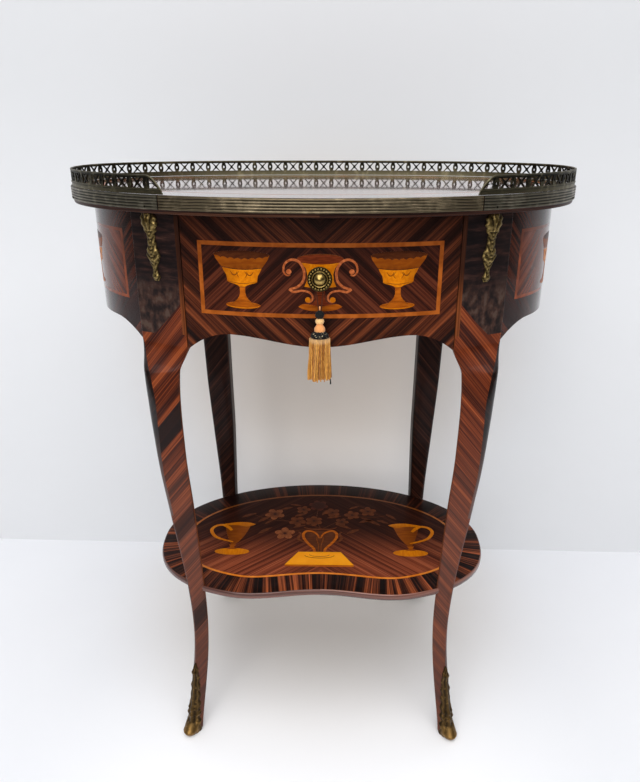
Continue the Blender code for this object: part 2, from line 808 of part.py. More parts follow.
DRAWER_AXIS = make_pivot("drawer_slide", (0.0, DRAWER_FRONT_BACK_Y, DRAWER_FLOOR))
DRAWER_BACK_Y = DRAWER_FRONT_BACK_Y + DRAWER_LENGTH
DRAWER_HALF = FRONT_STILE_X - DRAWER_END_GAP
SIDE_OUTER = DRAWER_SIDE_X
SIDE_INNER = DRAWER_SIDE_X - DRAWER_SIDE_THICKNESS
PANEL_LOW = DRAWER_FLOOR + DRAWER_BOTTOM_RISE
PANEL_HIGH = PANEL_LOW + DRAWER_BOTTOM_THICKNESS


def make_drawer_front():
    edge = rim_distance(DRAWER_HALF, APRON_INSET)
    top = CARCASE_TOP - DRAWER_END_GAP
    rings = []
    for distance in spread(-edge, edge, 26):
        face = rim_point(distance, APRON_INSET)
        bottom = drawer_bottom_edge(face.x)
        rings.append([
            (face.x, face.y, bottom),
            (face.x, face.y, top),
            (face.x, DRAWER_FRONT_BACK_Y, top),
            (face.x, DRAWER_FRONT_BACK_Y, bottom),
        ])
    front = loft("drawer_front", rings, ROSEWOOD, DRAWER_AXIS)
    lap = DRAWER_FRONT_BACK_Y - DRAWER_SIDE_LAP - CLEAR
    past = DRAWER_FRONT_BACK_Y + DRAWER_SIDE_LAP
    for name, side in (("left", -1.0), ("right", 1.0)):
        walls = sorted((side * (SIDE_INNER - CLEAR), side * (SIDE_OUTER + CLEAR)))
        cut(front, box("drawer_front_slot_" + name, (walls[0], lap, DRAWER_FLOOR - CLEAR),
                       (walls[1], past, DRAWER_SIDE_TOP + CLEAR), None))
    groove = DRAWER_FRONT_BACK_Y - DRAWER_GROOVE - CLEAR
    cut(front, box("drawer_front_groove", (-SIDE_INNER, groove, PANEL_LOW - CLEAR),
                   (SIDE_INNER, past, PANEL_HIGH + CLEAR), None))
    bolt = KNOB_BOLT_RADIUS + CLEAR
    place = knob_place()
    past_back = DRAWER_FRONT_BACK_Y - place.y + DRAWER_SIDE_LAP
    cut(front, turned("drawer_front_bolt_hole", place, (0.0, 1.0, 0.0),
                      [(-KNOB_NECK_LENGTH, bolt), (past_back, bolt)], 12, None))


def make_drawer_box():
    start = DRAWER_FRONT_BACK_Y - DRAWER_SIDE_LAP
    for name, side in (("left", -1.0), ("right", 1.0)):
        inner = side * SIDE_INNER
        outer = side * SIDE_OUTER
        groove = side * (SIDE_INNER + DRAWER_GROOVE + CLEAR)
        section = [
            (outer, DRAWER_FLOOR), (outer, DRAWER_SIDE_TOP), (inner, DRAWER_SIDE_TOP),
            (inner, PANEL_HIGH + CLEAR), (groove, PANEL_HIGH + CLEAR),
            (groove, PANEL_LOW - CLEAR), (inner, PANEL_LOW - CLEAR), (inner, DRAWER_FLOOR),
        ]
        rings = [[(x, y, z) for x, z in section] for y in (start, DRAWER_BACK_Y)]
        loft("drawer_side_" + name, rings, PLAIN_WOOD, DRAWER_AXIS, smooth=False)
    inside = SIDE_INNER - CLEAR
    box("drawer_back", (-inside, DRAWER_BACK_Y - DRAWER_BACK_THICKNESS, PANEL_HIGH + CLEAR),
        (inside, DRAWER_BACK_Y, DRAWER_SIDE_TOP), PLAIN_WOOD, DRAWER_AXIS)
    reach = SIDE_INNER + DRAWER_GROOVE
    box("drawer_bottom", (-reach, DRAWER_FRONT_BACK_Y - DRAWER_GROOVE, PANEL_LOW),
        (reach, DRAWER_BACK_Y, PANEL_HIGH), PLAIN_WOOD, DRAWER_AXIS)


def guide_back():
    """Where runners and kickers end: at the back stile's inside face."""
    widest = SIDE_OUTER + RUNNING + RUNNER_LIP
    corners, _ = stile_corners(False)
    share = (widest - corners[3].x) / (corners[2].x - corners[3].x)
    return min(corners[3].y, corners[3].lerp(corners[2], share).y) - CLEAR


def make_drawer_guides():
    """Runners with a guide lip under the drawer sides, and kickers above them."""
    front = RAIL_FRONT_Y + RAIL_DEPTH + CLEAR
    reach = SIDE_OUTER + RUNNING
    widest = reach + RUNNER_LIP
    back = guide_back()
    for name, side in (("left", -1.0), ("right", 1.0)):
        section = [
            (reach - RUNNER_WIDTH, RUNNER_TOP - RAIL_HEIGHT), (widest, RUNNER_TOP - RAIL_HEIGHT),
            (widest, RUNNER_TOP + RUNNER_LIP_HEIGHT), (reach, RUNNER_TOP + RUNNER_LIP_HEIGHT),
            (reach, RUNNER_TOP), (reach - RUNNER_WIDTH, RUNNER_TOP),
        ]
        rings = [[(side * x, y, z) for x, z in section] for y in (front, back)]
        loft("drawer_runner_" + name, rings, PLAIN_WOOD, smooth=False)
        walls = sorted((side * (reach - RUNNER_WIDTH), side * widest))
        box("drawer_kicker_" + name, (walls[0], front, CARCASE_TOP - KICKER_HEIGHT),
            (walls[1], back, CARCASE_TOP), PLAIN_WOOD)


# Knob

def knob_place():
    face = rim_point(0.0, APRON_INSET)
    return Vector((0.0, face.y - CLEAR, BOARD_UNDERSIDE - KNOB_DROP))


def make_knob():
    face = knob_place()
    forward = (0.0, -1.0, 0.0)
    bolt = KNOB_BOLT_RADIUS + CLEAR
    neck_end = KNOB_BASE_THICKNESS + KNOB_NECK_LENGTH
    base = turned("knob_base", face, forward, [
        (0.0, KNOB_BASE_RADIUS), (KNOB_BASE_THICKNESS * 0.5, KNOB_BASE_RADIUS),
        (KNOB_BASE_THICKNESS, KNOB_NECK_RADIUS), (neck_end, KNOB_NECK_RADIUS),
    ], 24, GILT, DRAWER_AXIS)
    start = neck_end + CLEAR
    rim = KNOB_HEAD_THICKNESS
    head = turned("knob_head", face, forward, [
        (start, KNOB_HEAD_RADIUS * 0.60), (start + rim * 0.35, KNOB_HEAD_RADIUS * 0.97),
        (start + rim * 0.65, KNOB_HEAD_RADIUS), (start + rim, KNOB_HEAD_RADIUS * 0.90),
        (start + rim * 0.80, KNOB_HEAD_RADIUS * 0.72), (start + rim, KNOB_DOME_RADIUS),
        (start + rim + KNOB_DOME_HEIGHT * 0.60, KNOB_DOME_RADIUS * 0.80),
        (start + rim + KNOB_DOME_HEIGHT * 0.92, KNOB_DOME_RADIUS * 0.40),
        (start + rim + KNOB_DOME_HEIGHT, KNOB_DOME_RADIUS * 0.10),
    ], 24, GILT, DRAWER_AXIS)
    tip = start + rim * 0.7
    seat = DRAWER_FRONT_BACK_Y - face.y
    nut_end = seat + CLEAR + KNOB_NUT_THICKNESS + KNOB_BOLT_RADIUS
    turned("knob_bolt", face, forward,
           [(-nut_end, KNOB_BOLT_RADIUS), (tip, KNOB_BOLT_RADIUS)], 12, STEEL, DRAWER_AXIS)
    hole = turned("knob_bolt_hole", face, forward,
                  [(-nut_end - CLEAR, bolt), (tip + CLEAR, bolt)], 12, None, DRAWER_AXIS)
    nut = turned("knob_nut", face, forward, [
        (-seat - CLEAR - KNOB_NUT_THICKNESS, KNOB_NUT_RADIUS), (-seat - CLEAR, KNOB_NUT_RADIUS),
    ], 6, STEEL, DRAWER_AXIS)
    for piece in (base, head, nut):
        cut(piece, hole)


# Tassel, hung on the knob's neck by a loop of cord

def tassel_hinge():
    face = knob_place()
    return Vector((0.0, face.y - KNOB_BASE_THICKNESS - KNOB_NECK_LENGTH / 2, face.z))


TASSEL_AXIS = make_pivot("tassel_pivot", tassel_hinge())
TASSEL_DOWN = Vector((0.0, -math.sin(TASSEL_LEAN), -math.cos(TASSEL_LEAN)))


def fluted(name, start, profile, flutes, depth, finish):
    """A turned soft piece below the hinge whose section is scalloped."""
    across = Vector((1.0, 0.0, 0.0))
    beside = TASSEL_DOWN.cross(across)
    sides = 2 * flutes
    rings = []
    for distance, radius in profile:
        centre = TASSEL_AXIS.location + TASSEL_DOWN * (start + distance)
        ring = []
        for index in range(sides):
            turn = 2 * math.pi * index / sides
            reach = radius * (1 - depth * (index % 2))
            ring.append(centre + reach * (across * math.cos(turn) + beside * math.sin(turn)))
        rings.append(ring)
    return loft(name, rings, finish, TASSEL_AXIS)


def tassel_cord_route():
    """From the knot up round the neck and back to the knot, in the plane across the knob."""
    half = TASSEL_CORD_DIAMETER / 2
    round_neck = KNOB_NECK_RADIUS + CLEAR + half
    foot = TASSEL_DROP - CLEAR
    spread_at_knot = TASSEL_CORD_DIAMETER * 0.9
    points = []
    tangent = math.acos(min((round_neck - spread_at_knot) / foot, 1.0))
    touch = math.pi / 2 - tangent
    straight = 8
    for index in range(straight):
        share = index / straight
        x = spread_at_knot + (round_neck * math.cos(touch) - spread_at_knot) * share
        depth = foot + (round_neck * math.sin(touch) - foot) * share
        points.append((x, depth))
    turns = 12
    for index in range(turns + 1):
        turn = touch - (math.pi + 2 * touch) * index / turns
        points.append((round_neck * math.cos(turn), round_neck * math.sin(turn)))
    mirrored = [(-x, depth) for x, depth in points[:straight]]
    return points + mirrored[::-1]


def make_tassel_cord():
    line = bpy.data.curves.new("tassel_cord", "CURVE")
    line.dimensions = "3D"
    line.bevel_depth = TASSEL_CORD_DIAMETER / 2
    line.bevel_resolution = 2
    line.use_fill_caps = True
    route = tassel_cord_route()
    spline = line.splines.new("POLY")
    spline.points.add(len(route) - 1)
    for point, (x, depth) in zip(spline.points, route):
        lean = TASSEL_DOWN * depth
        point.co = (x, lean.y, lean.z, 1.0)
    line.materials.append(make_material("tassel_cord", DARK_SILK))
    piece = bpy.data.objects.new("tassel_cord", line)
    bpy.context.collection.objects.link(piece)
    piece.parent = TASSEL_AXIS


def make_tassel():
    make_tassel_cord()
    top = TASSEL_DROP
    knot = TASSEL_KNOT_HEIGHT
    fluted("tassel_knot", top, [
        (0.0, TASSEL_KNOT_RADIUS * 0.55), (knot * 0.35, TASSEL_KNOT_RADIUS),
        (knot * 0.70, TASSEL_KNOT_RADIUS), (knot, TASSEL_KNOT_RADIUS * 0.60),
    ], 7, 0.12, DARK_SILK)
    top += knot + CLEAR
    head = TASSEL_HEAD_HEIGHT
    fluted("tassel_head", top, [
        (0.0, TASSEL_HEAD_RADIUS * 0.62), (head * 0.25, TASSEL_HEAD_RADIUS * 0.68),
        (head * 0.50, TASSEL_HEAD_RADIUS * 0.92), (head * 0.72, TASSEL_HEAD_RADIUS),
        (head, TASSEL_HEAD_RADIUS * 0.90),
    ], 10, 0.04, PEACH_SILK)
    top += head + CLEAR
    collar = TASSEL_COLLAR_HEIGHT
    fluted("tassel_collar", top, [
        (0.0, TASSEL_COLLAR_RADIUS * 0.78), (collar * 0.5, TASSEL_COLLAR_RADIUS),
        (collar, TASSEL_COLLAR_RADIUS * 0.92),
    ], 12, 0.10, DARK_SILK)
    top += collar + CLEAR
    skirt = TASSEL_SKIRT_HEIGHT
    fluted("tassel_skirt", top, [
        (0.0, TASSEL_SKIRT_RADIUS * 0.84), (skirt * 0.25, TASSEL_SKIRT_RADIUS * 0.92),
        (skirt * 0.6, TASSEL_SKIRT_RADIUS), (skirt, TASSEL_SKIRT_RADIUS * 0.99),
    ], TASSEL_FLUTES, 0.10, GOLD_SILK)


# Gilt mounts

def make_chute(place, front, side):
    """A leafy drop on the stile's face: a broad shell above, a waist, a second swell and a tip."""
    corners, _ = stile_corners(front)
    inner, outer = corners[0], corners[1]
    along = (outer - inner).normalized()
    centre = inner.lerp(outer, CHUTE_PLACE)
    facing = Vector((along.y, -along.x)) if front else Vector((-along.y, along.x))
    if facing.y * (-1.0 if front else 1.0) < 0:
        facing = -facing
    half = CHUTE_WIDTH / 2
    profile = (
        (0.00, 0.55, 0.55), (0.07, 0.95, 0.90), (0.20, 1.00, 1.00), (0.34, 0.62, 0.70),
        (0.44, 0.52, 0.60), (0.58, 0.78, 0.85), (0.74, 0.60, 0.65), (0.86, 0.30, 0.45),
        (0.93, 0.38, 0.50), (1.00, 0.12, 0.20),
    )
    rings = []
    for share, width, relief in profile:
        height = CARCASE_TOP - CLEAR - CHUTE_LENGTH * share
        ring = []
        for index in range(9):
            turn = math.pi * index / 8
            sideways = half * width * math.cos(turn)
            out = CLEAR + CHUTE_RELIEF * relief * math.sin(turn)
            point = centre + along * sideways + facing * out
            ring.append((side * point.x, point.y, height))
        rings.append(ring)
    return loft("chute_" + place, rings, GILT)


def make_sabot(place, front, side):
    """A cuff round the foot with a tall leaf that climbs the outer arris."""
    sides = 16
    facing = -1.0 if front else 1.0
    outwards = Vector((1.0, facing)).normalized()
    rings = []
    stations = (
        (0.0, 0.0), (0.25, 0.0), (0.7, 0.0), (1.0, 0.12),
        (1.5, 0.55), (2.1, 0.85), (2.8, 0.97), (SABOT_HEIGHT / SABOT_CUFF, 1.0),
    )
    for share, climb in stations:
        height = SABOT_CUFF * share
        square = leg_square(front, max(height, LEG_FOOT_GAP))
        middle = sum(square, Vector((0.0, 0.0))) / 4
        across = (square[1] - square[0]).normalized()
        inwards = (square[2] - square[1]).normalized()
        arris = square[1] - outwards * LEG_EDGE * 0.4
        toe = SABOT_TOE * max(0.0, 1.0 - share * 1.6)
        centre = (middle + outwards * toe).lerp(arris, climb)
        wide = (square[1] - square[0]).length / 2 + SABOT_WALL + toe * 0.6
        tip = SABOT_WALL + 0.006 * max(0.0, 1.0 - share * SABOT_CUFF / SABOT_HEIGHT)
        reach = wide + (tip - wide) * climb
        ring = []
        for index in range(sides):
            turn = 2 * math.pi * index / sides
            cosine = math.cos(turn)
            sine = math.sin(turn)
            power = 0.5 + 0.5 * climb
            point = centre + across * reach * math.copysign(abs(cosine) ** power, cosine)
            point += inwards * reach * math.copysign(abs(sine) ** power, sine)
            ring.append((side * point.x, point.y, height))
        rings.append(ring)
    sabot = loft("sabot_" + place, rings, GILT)
    cut(sabot, loft("sabot_foot_" + place, leg_rings(front, side, CLEAR), None))


def make_mounts():
    for place, front, side in CORNERS:
        make_chute(place, front, side)
        make_sabot(place, front, side)


# Screws through the rail and kickers into the top, and glue blocks in the aprons' angle

def make_screw(name, x, y, under, carriers):
    """A screw from below, its head sunk in a counterbore in the underside of what it holds."""
    up = (0.0, 0.0, 1.0)
    start = under + CLEAR
    seat = SCREW_HEAD_THICKNESS
    length = BOARD_UNDERSIDE + SCREW_GRIP - start
    turned(name, (x, y, start), up, [
        (0.0, SCREW_HEAD_RADIUS), (seat, SCREW_HEAD_RADIUS), (seat, SCREW_RADIUS),
        (length - 2 * SCREW_RADIUS, SCREW_RADIUS), (length, SCREW_RADIUS * 0.3),
    ], 12, STEEL)
    mouth = SCREW_HEAD_RADIUS + CLEAR
    wide = SCREW_RADIUS + CLEAR
    hole = turned(name + "_hole", (x, y, start), up, [
        (-SCREW_HEAD_RADIUS, mouth), (seat + CLEAR, mouth), (seat + CLEAR, wide), (length + CLEAR, wide),
    ], 12, None)
    for carrier in carriers:
        cut(carrier, hole)


def make_screws():
    board = bpy.data.objects["top_board"]
    rail = bpy.data.objects["rail_front_upper"]
    rail_y = RAIL_FRONT_Y + RAIL_DEPTH / 2
    kicker_x = SIDE_OUTER + RUNNING - RUNNER_WIDTH / 2 + RUNNER_LIP / 2
    kicker_y = guide_back() - SCREW_END
    for name, side in (("left", -1.0), ("right", 1.0)):
        make_screw("top_screw_front_" + name, side * DRAWER_WAIST_X, rail_y,
                   CARCASE_TOP - RAIL_HEIGHT, (rail, board))
        kicker = bpy.data.objects["drawer_kicker_" + name]
        make_screw("top_screw_back_" + name, side * kicker_x, kicker_y,
                   CARCASE_TOP - KICKER_HEIGHT, (kicker, board))


def make_glue_blocks():
    """Each block lies along the middle facets of its apron."""
    inset = APRON_INSET + APRON_THICKNESS + CLEAR
    _, front_end = stile_corners(True)
    _, back_end = stile_corners(False)
    stile = rim_distance(BACK_STILE_X, APRON_INSET - STILE_PROUD, behind=True)
    first = (APRON_FACETS - BLOCK_FACETS) // 2

    def section(distance):
        return [(inset, CARCASE_TOP), (inset + BLOCK_SIZE, CARCASE_TOP), (inset, CARCASE_TOP - BLOCK_SIZE)]

    for name, start, end in (
        ("left", -front_end, -back_end),
        ("right", front_end, back_end),
        ("back", stile, 2 * RIM_HALF - stile),
    ):
        stations = apron_stations(start, end)[first:first + BLOCK_FACETS + 1]
        sweep("glue_block_" + name, stations, section, PLAIN_WOOD, smooth=False)


make_top_board()
make_bands()
make_gallery()
TABLE_LEGS = make_legs()
make_aprons(TABLE_LEGS)
make_rails(TABLE_LEGS)
make_shelf(TABLE_LEGS)
make_drawer_front()
make_drawer_box()
make_drawer_guides()
make_knob()
make_tassel()
make_mounts()
make_screws()
make_glue_blocks()
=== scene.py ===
from bisect import bisect_left
from math import acos, atan2, copysign, cos, exp, hypot, pi, radians, sin

import bmesh
import bpy
from mathutils import Matrix, Vector, geometry


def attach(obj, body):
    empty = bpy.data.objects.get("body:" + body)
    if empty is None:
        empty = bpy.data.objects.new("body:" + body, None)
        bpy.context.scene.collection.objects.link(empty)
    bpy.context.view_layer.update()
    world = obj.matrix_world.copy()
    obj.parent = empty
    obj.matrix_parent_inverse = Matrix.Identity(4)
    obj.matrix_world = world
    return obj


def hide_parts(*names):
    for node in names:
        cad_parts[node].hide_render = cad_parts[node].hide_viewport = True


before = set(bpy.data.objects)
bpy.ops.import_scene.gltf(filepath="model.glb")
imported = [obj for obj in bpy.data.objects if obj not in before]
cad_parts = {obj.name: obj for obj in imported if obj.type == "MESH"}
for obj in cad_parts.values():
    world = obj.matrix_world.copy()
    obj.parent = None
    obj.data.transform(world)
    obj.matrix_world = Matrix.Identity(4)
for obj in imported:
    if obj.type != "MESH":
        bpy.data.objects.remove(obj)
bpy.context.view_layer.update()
print("frame loaded,", len(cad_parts), "nodes")


def addObject(name, data):
    item = bpy.data.objects.new(name, data)
    bpy.context.scene.collection.objects.link(item)
    return item


# camera where the photograph was taken from, just above the gallery
photo = {"lens": 30.5, "place": (0.0123, -0.828, 0.787), "tilt": 68.12, "turn": 1.02}
lensData = bpy.data.cameras.new("photoCamera")
lensData.lens = photo["lens"]
camera = addObject("photoCamera", lensData)
camera.location = photo["place"]
camera.rotation_euler = (radians(photo["tilt"]), 0, radians(photo["turn"]))
bpy.context.scene.camera = camera


# shader helpers

def tint(red, green, blue):
    # screen colour, 0 to 255, to the linear value a socket takes
    shares = (red / 255, green / 255, blue / 255)
    return (*[((c + 0.055) / 1.055) ** 2.4 if c > 0.04 else c / 12.92 for c in shares], 1)


def tints(*colours):
    return [tint(*colour) for colour in colours]


def mm(*values):
    # lengths that are written in millimetres
    return [tuple(mm(*v)) if isinstance(v, tuple) else round(v / 1000, 7) for v in values]


def startFinish(name, roughness=0.5, metallic=0.0, coat=0.0, coatRoughness=0.08):
    finish = bpy.data.materials.new(name)
    finish.use_nodes = True
    shader = finish.node_tree.nodes["Principled BSDF"]
    shader.inputs["Roughness"].default_value = roughness
    shader.inputs["Metallic"].default_value = metallic
    shader.inputs["Coat Weight"].default_value = coat
    shader.inputs["Coat Roughness"].default_value = coatRoughness
    return finish, finish.node_tree, shader


def put(tree, kind, inputs=None, **settings):
    node = tree.nodes.new(kind)
    for key, value in settings.items():
        setattr(node, key, value)
    for key, value in (inputs or {}).items():
        value = value.outputs[0] if isinstance(value, bpy.types.Node) else value
        if isinstance(value, bpy.types.NodeSocket):
            tree.links.new(value, node.inputs[key])
        else:
            node.inputs[key].default_value = value
    return node


def maths(tree, operation, first, second=0.0):
    return put(tree, "ShaderNodeMath", {0: first, 1: second}, operation=operation).outputs[0]


def times(tree, first, second):
    return maths(tree, "MULTIPLY", first, second)


def weigh(tree, *pairs):
    # the sum of some values, each times its weight
    total = None
    for value, weight in pairs:
        part = times(tree, value, weight)
        total = part if total is None else maths(tree, "ADD", total, part)
    return total


def blendColour(tree, share, first, second, kind="MIX"):
    return put(tree, "ShaderNodeMix", {0: share, 6: first, 7: second}, data_type="RGBA",
        blend_type=kind).outputs[2]


def ramp(tree, share, stops):
    node = put(tree, "ShaderNodeValToRGB", {0: share})
    line = node.color_ramp.elements
    while len(line) < len(stops):
        line.new(0.5)
    for mark, (place, colour) in zip(line, stops):
        mark.position = place
        mark.color = colour
    return node.outputs[0]


def step(tree, value, low, high):
    node = put(tree, "ShaderNodeMapRange", {"Value": value, "From Min": low, "From Max": high},
        interpolation_type="SMOOTHSTEP")
    return node.outputs[0]


def fade(tree, value, low, high, share, base, colour):
    # the base goes over to another colour as value runs from low to high
    return blendColour(tree, times(tree, step(tree, value, low, high), share), base, colour)


def cloud(tree, vector, scale, detail=2.0, move=(0, 0, 0), turn=(0, 0, 0)):
    # noise with its own scale on each axis
    placed = put(tree, "ShaderNodeMapping",
        {"Vector": vector, "Scale": scale, "Location": move, "Rotation": turn}).outputs[0]
    return put(tree, "ShaderNodeTexNoise", {"Vector": placed, "Scale": 1.0, "Detail": detail}).outputs[0]


def bump(tree, shader, height, strength, distance):
    node = put(tree, "ShaderNodeBump", {"Height": height, "Strength": strength, "Distance": distance})
    tree.links.new(node.outputs[0], shader.inputs["Normal"])


def objectSpace(tree):
    return put(tree, "ShaderNodeTexCoord").outputs["Object"]


def heightIn(tree):
    return put(tree, "ShaderNodeSeparateXYZ", {0: objectSpace(tree)}).outputs[2]


def depthIn(tree):
    return put(tree, "ShaderNodeSeparateXYZ", {0: objectSpace(tree)}).outputs[1]


def markIn(tree, name):
    return put(tree, "ShaderNodeAttribute", attribute_name=name).outputs["Fac"]


def overlay(finish, mix):
    # reworks the colour that a finish already has
    tree = finish.node_tree
    socket = tree.nodes["Principled BSDF"].inputs["Base Color"]
    tree.links.new(mix(tree, socket.links[0].from_socket), socket)


def veneer(name, tones, seed, bands=95.0, streaks=0.5, rare=0.56, lacquer=0.6, rough=0.22, shine=0.25):
    # sliced rosewood: the grain map runs across the figure in u and along it in v, in metres
    finish, tree, shader = startFinish(name, 0.3, 0.0, lacquer, 0.05)
    shader.inputs["Specular IOR Level"].default_value = shine
    grain = put(tree, "ShaderNodeUVMap", uv_map="grain").outputs[0]
    drift = cloud(tree, grain, (10, 4, 1), 2.0, (seed, 0, 0))
    wavy = put(tree, "ShaderNodeVectorMath", {0: drift, 1: (0.006, 0, 0), 2: grain},
        operation="MULTIPLY_ADD").outputs[0]
    broad = cloud(tree, wavy, (bands, 1.8, 1), 2.0, (seed * 3, seed, 0))
    lines = cloud(tree, wavy, (bands * 5, 4, 1), 3.0, (seed, seed * 2, 0))
    threads = cloud(tree, wavy, (bands * 13, 7, 1), 2.0, (seed * 5, 0, 0))
    pores = cloud(tree, wavy, (2600, 60, 1), 2.0)
    figure = weigh(tree, (broad, 0.42), (lines, 0.33), (threads, 0.19), (pores, 0.06))
    colour = ramp(tree, figure, list(zip((0.4, 0.47, 0.53, 0.6), tones)))
    dark = cloud(tree, wavy, (bands * 0.36, 1.0, 1), 1.0, (seed * 7, 3, 0))
    black = blendColour(tree, step(tree, lines, 0.45, 0.72), tint(16, 10, 9), tones[1])
    colour = fade(tree, dark, rare, rare + 0.04, streaks, colour, black)
    tree.links.new(colour, shader.inputs["Base Color"])
    tree.links.new(maths(tree, "ADD", times(tree, pores, 0.16), rough), shader.inputs["Roughness"])
    bump(tree, shader, lines, 0.04, 0.0003)
    return finish


def inlayWood(name, pale, deep, burnt, scale=(120, 120, 900), lacquer=0.04):
    # small pieces of pale wood, scorched towards one side where tone says so; on the strings of the panels
    # and the shelf, tone is painted shade
    finish, tree, shader = startFinish(name, 0.3, 0.0, lacquer, 0.06)
    shader.inputs["Specular IOR Level"].default_value = 0.05
    place = objectSpace(tree)
    fibre = cloud(tree, place, scale, 3.0)
    patch = cloud(tree, place, (60, 60, 60), 2.0)
    colour = blendColour(tree, step(tree, fibre, 0.35, 0.65), deep, pale)
    colour = fade(tree, patch, 0.45, 0.7, 0.35, colour, deep)
    shade = markIn(tree, "tone")
    colour = blendColour(tree, shade, colour, burnt)
    tree.links.new(colour, shader.inputs["Base Color"])
    bump(tree, shader, fibre, 0.05, 0.0003)
    return finish


def brass(name, dark, bright, roughness, grime=(0.42, 0.62), patch=260.0, relief=0.12):
    # wear is 0 in the hollows and 1 on the rubbed edges
    finish, tree, shader = startFinish(name, roughness, 1.0)
    place = objectSpace(tree)
    wear = markIn(tree, "wear")
    blotch = cloud(tree, place, (patch, patch, patch), 4.0)
    fine = cloud(tree, place, (2600, 2600, 2600), 3.0)
    share = weigh(tree, (wear, 0.62), (step(tree, blotch, *grime), 0.38))
    share = times(tree, share, maths(tree, "ADD", times(tree, fine, 0.5), 0.75))
    tree.links.new(blendColour(tree, share, dark, bright), shader.inputs["Base Color"])
    rough = maths(tree, "ADD", roughness + 0.16, times(tree, share, -0.22))
    tree.links.new(rough, shader.inputs["Roughness"])
    bump(tree, shader, maths(tree, "ADD", blotch, times(tree, fine, 0.3)), relief, 0.0006)
    return finish


def silk(name, pale, deep, scale, gloss=0.25):
    finish, tree, shader = startFinish(name, 0.7)
    shader.inputs["Specular IOR Level"].default_value = 0.1
    shader.inputs["Sheen Weight"].default_value = gloss
    shader.inputs["Sheen Roughness"].default_value = 0.4
    place = objectSpace(tree)
    thread = cloud(tree, place, scale, 2.0)
    tone = markIn(tree, "tone")
    share = weigh(tree, (step(tree, thread, 0.3, 0.7), 0.55), (tone, 0.6))
    tree.links.new(blendColour(tree, share, pale, deep), shader.inputs["Base Color"])
    bump(tree, shader, thread, 0.3, 0.0004)
    return finish


def boardWood(name, pale, deep, turn=(0, 0, 0)):
    # plain secondary wood of the drawer and the inside
    finish, tree, shader = startFinish(name, 0.55)
    place = objectSpace(tree)
    rings = cloud(tree, place, (70, 5, 70), 3.0, turn=turn)
    pores = cloud(tree, place, (900, 30, 900), 2.0, turn=turn)
    share = weigh(tree, (rings, 0.75), (pores, 0.25))
    tree.links.new(ramp(tree, share, [(0.36, deep), (0.64, pale)]), shader.inputs["Base Color"])
    tree.links.new(maths(tree, "ADD", times(tree, pores, 0.2), 0.45), shader.inputs["Roughness"])
    bump(tree, shader, pores, 0.12, 0.0004)
    return finish


# mesh helpers

def turnOutward(mesh):
    shape = bmesh.new()
    shape.from_mesh(mesh)
    bmesh.ops.recalc_face_normals(shape, faces=shape.faces)
    shape.to_mesh(mesh)
    shape.free()


def makePiece(name, points, faces, finishes, body, nodes=(), grain=None, marks=None, finishOf=None,
        crease=38):
    mesh = bpy.data.meshes.new(name)
    mesh.from_pydata([tuple(p) for p in points], [], faces)
    if grain:
        layer = mesh.uv_layers.new(name="grain")
        layer.data.foreach_set("uv", [c for corners in grain for uv in corners for c in uv])
    for mark, values in (marks or {}).items():
        mesh.attributes.new(mark, "FLOAT", "POINT").data.foreach_set("value", values)
    if finishOf:
        mesh.polygons.foreach_set("material_index", finishOf)
    turnOutward(mesh)
    return settle(name, mesh, finishes, body, nodes, crease)


def settle(name, mesh, finishes, body, nodes=(), crease=38):
    # a finished mesh becomes a piece that rides on its body
    for finish in finishes if isinstance(finishes, list) else [finishes]:
        mesh.materials.append(finish)
    mesh.shade_smooth()
    mesh.set_sharp_from_angle(angle=radians(crease))
    piece = addObject(name, mesh)
    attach(piece, body)
    if nodes:
        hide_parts(*nodes)
    return piece


def ringFaces(rows, count):
    faces = []
    for low in range(0, (rows - 1) * count, count):
        for i in range(count):
            j = (i + 1) % count
            faces.append((low + i, low + j, low + count + j, low + count + i))
    return faces


def tubeFaces(rows, count):
    # rings joined one to the next, closed at both ends
    return ringFaces(rows, count) + [tuple(range(count)), tuple(range((rows - 1) * count, rows * count))]


def lathe(profile, sides, base, along, ripple=None):
    # profile holds (distance along the axis, radius); ends close in a point or a flat
    along = Vector(along).normalized()
    across = Vector((1, 0, 0))
    beside = along.cross(across)
    points = []
    for row, (reach, radius) in enumerate(profile):
        for i in range(sides):
            turn = 2 * pi * i / sides
            r = radius * (ripple(row, turn) if ripple else 1)
            points.append(Vector(base) + along * reach + (across * cos(turn) + beside * sin(turn)) * r)
    return points, tubeFaces(len(profile), sides)


def smoothLine(points, steps=6):
    # a rounded line through the given points
    line = []
    padded = [points[0]] + list(points) + [points[-1]]
    for a, b, c, d in zip(padded, padded[1:], padded[2:], padded[3:]):
        for i in range(steps):
            t = i / steps
            line.append(tuple(0.5 * (2 * q + (r - p) * t + (2 * p - 5 * q + 4 * r - s) * t * t
                + (3 * q - p - 3 * r + s) * t ** 3) for p, q, r, s in zip(a, b, c, d)))
    line.append(tuple(points[-1]))
    return line


def rounded(steps, *lines):
    return [point for line in lines for point in smoothLine(line, steps)]


def ellipse(x, y, halfWidth, halfHeight, count=28, start=0.0, end=2 * pi):
    closed = abs(end - start) > 6.2
    steps = count if closed else count - 1
    return [(x + halfWidth * cos(start + (end - start) * i / steps),
        y + halfHeight * sin(start + (end - start) * i / steps)) for i in range(count)]


def lineAt(line, x):
    for a, b in zip(line, line[1:]):
        if x <= b[0]:
            return a[1] + (b[1] - a[1]) * (x - a[0]) / (b[0] - a[0])
    return line[-1][1]


def openSides(triangles):
    # the edges that only one triangle has
    uses = {}
    for tri in triangles:
        for a, b in zip(tri, tri[1:] + tri[:1]):
            pair = (min(a, b), max(a, b))
            uses[pair] = uses.get(pair, 0) + 1
    return [pair for pair, count in uses.items() if count == 1]


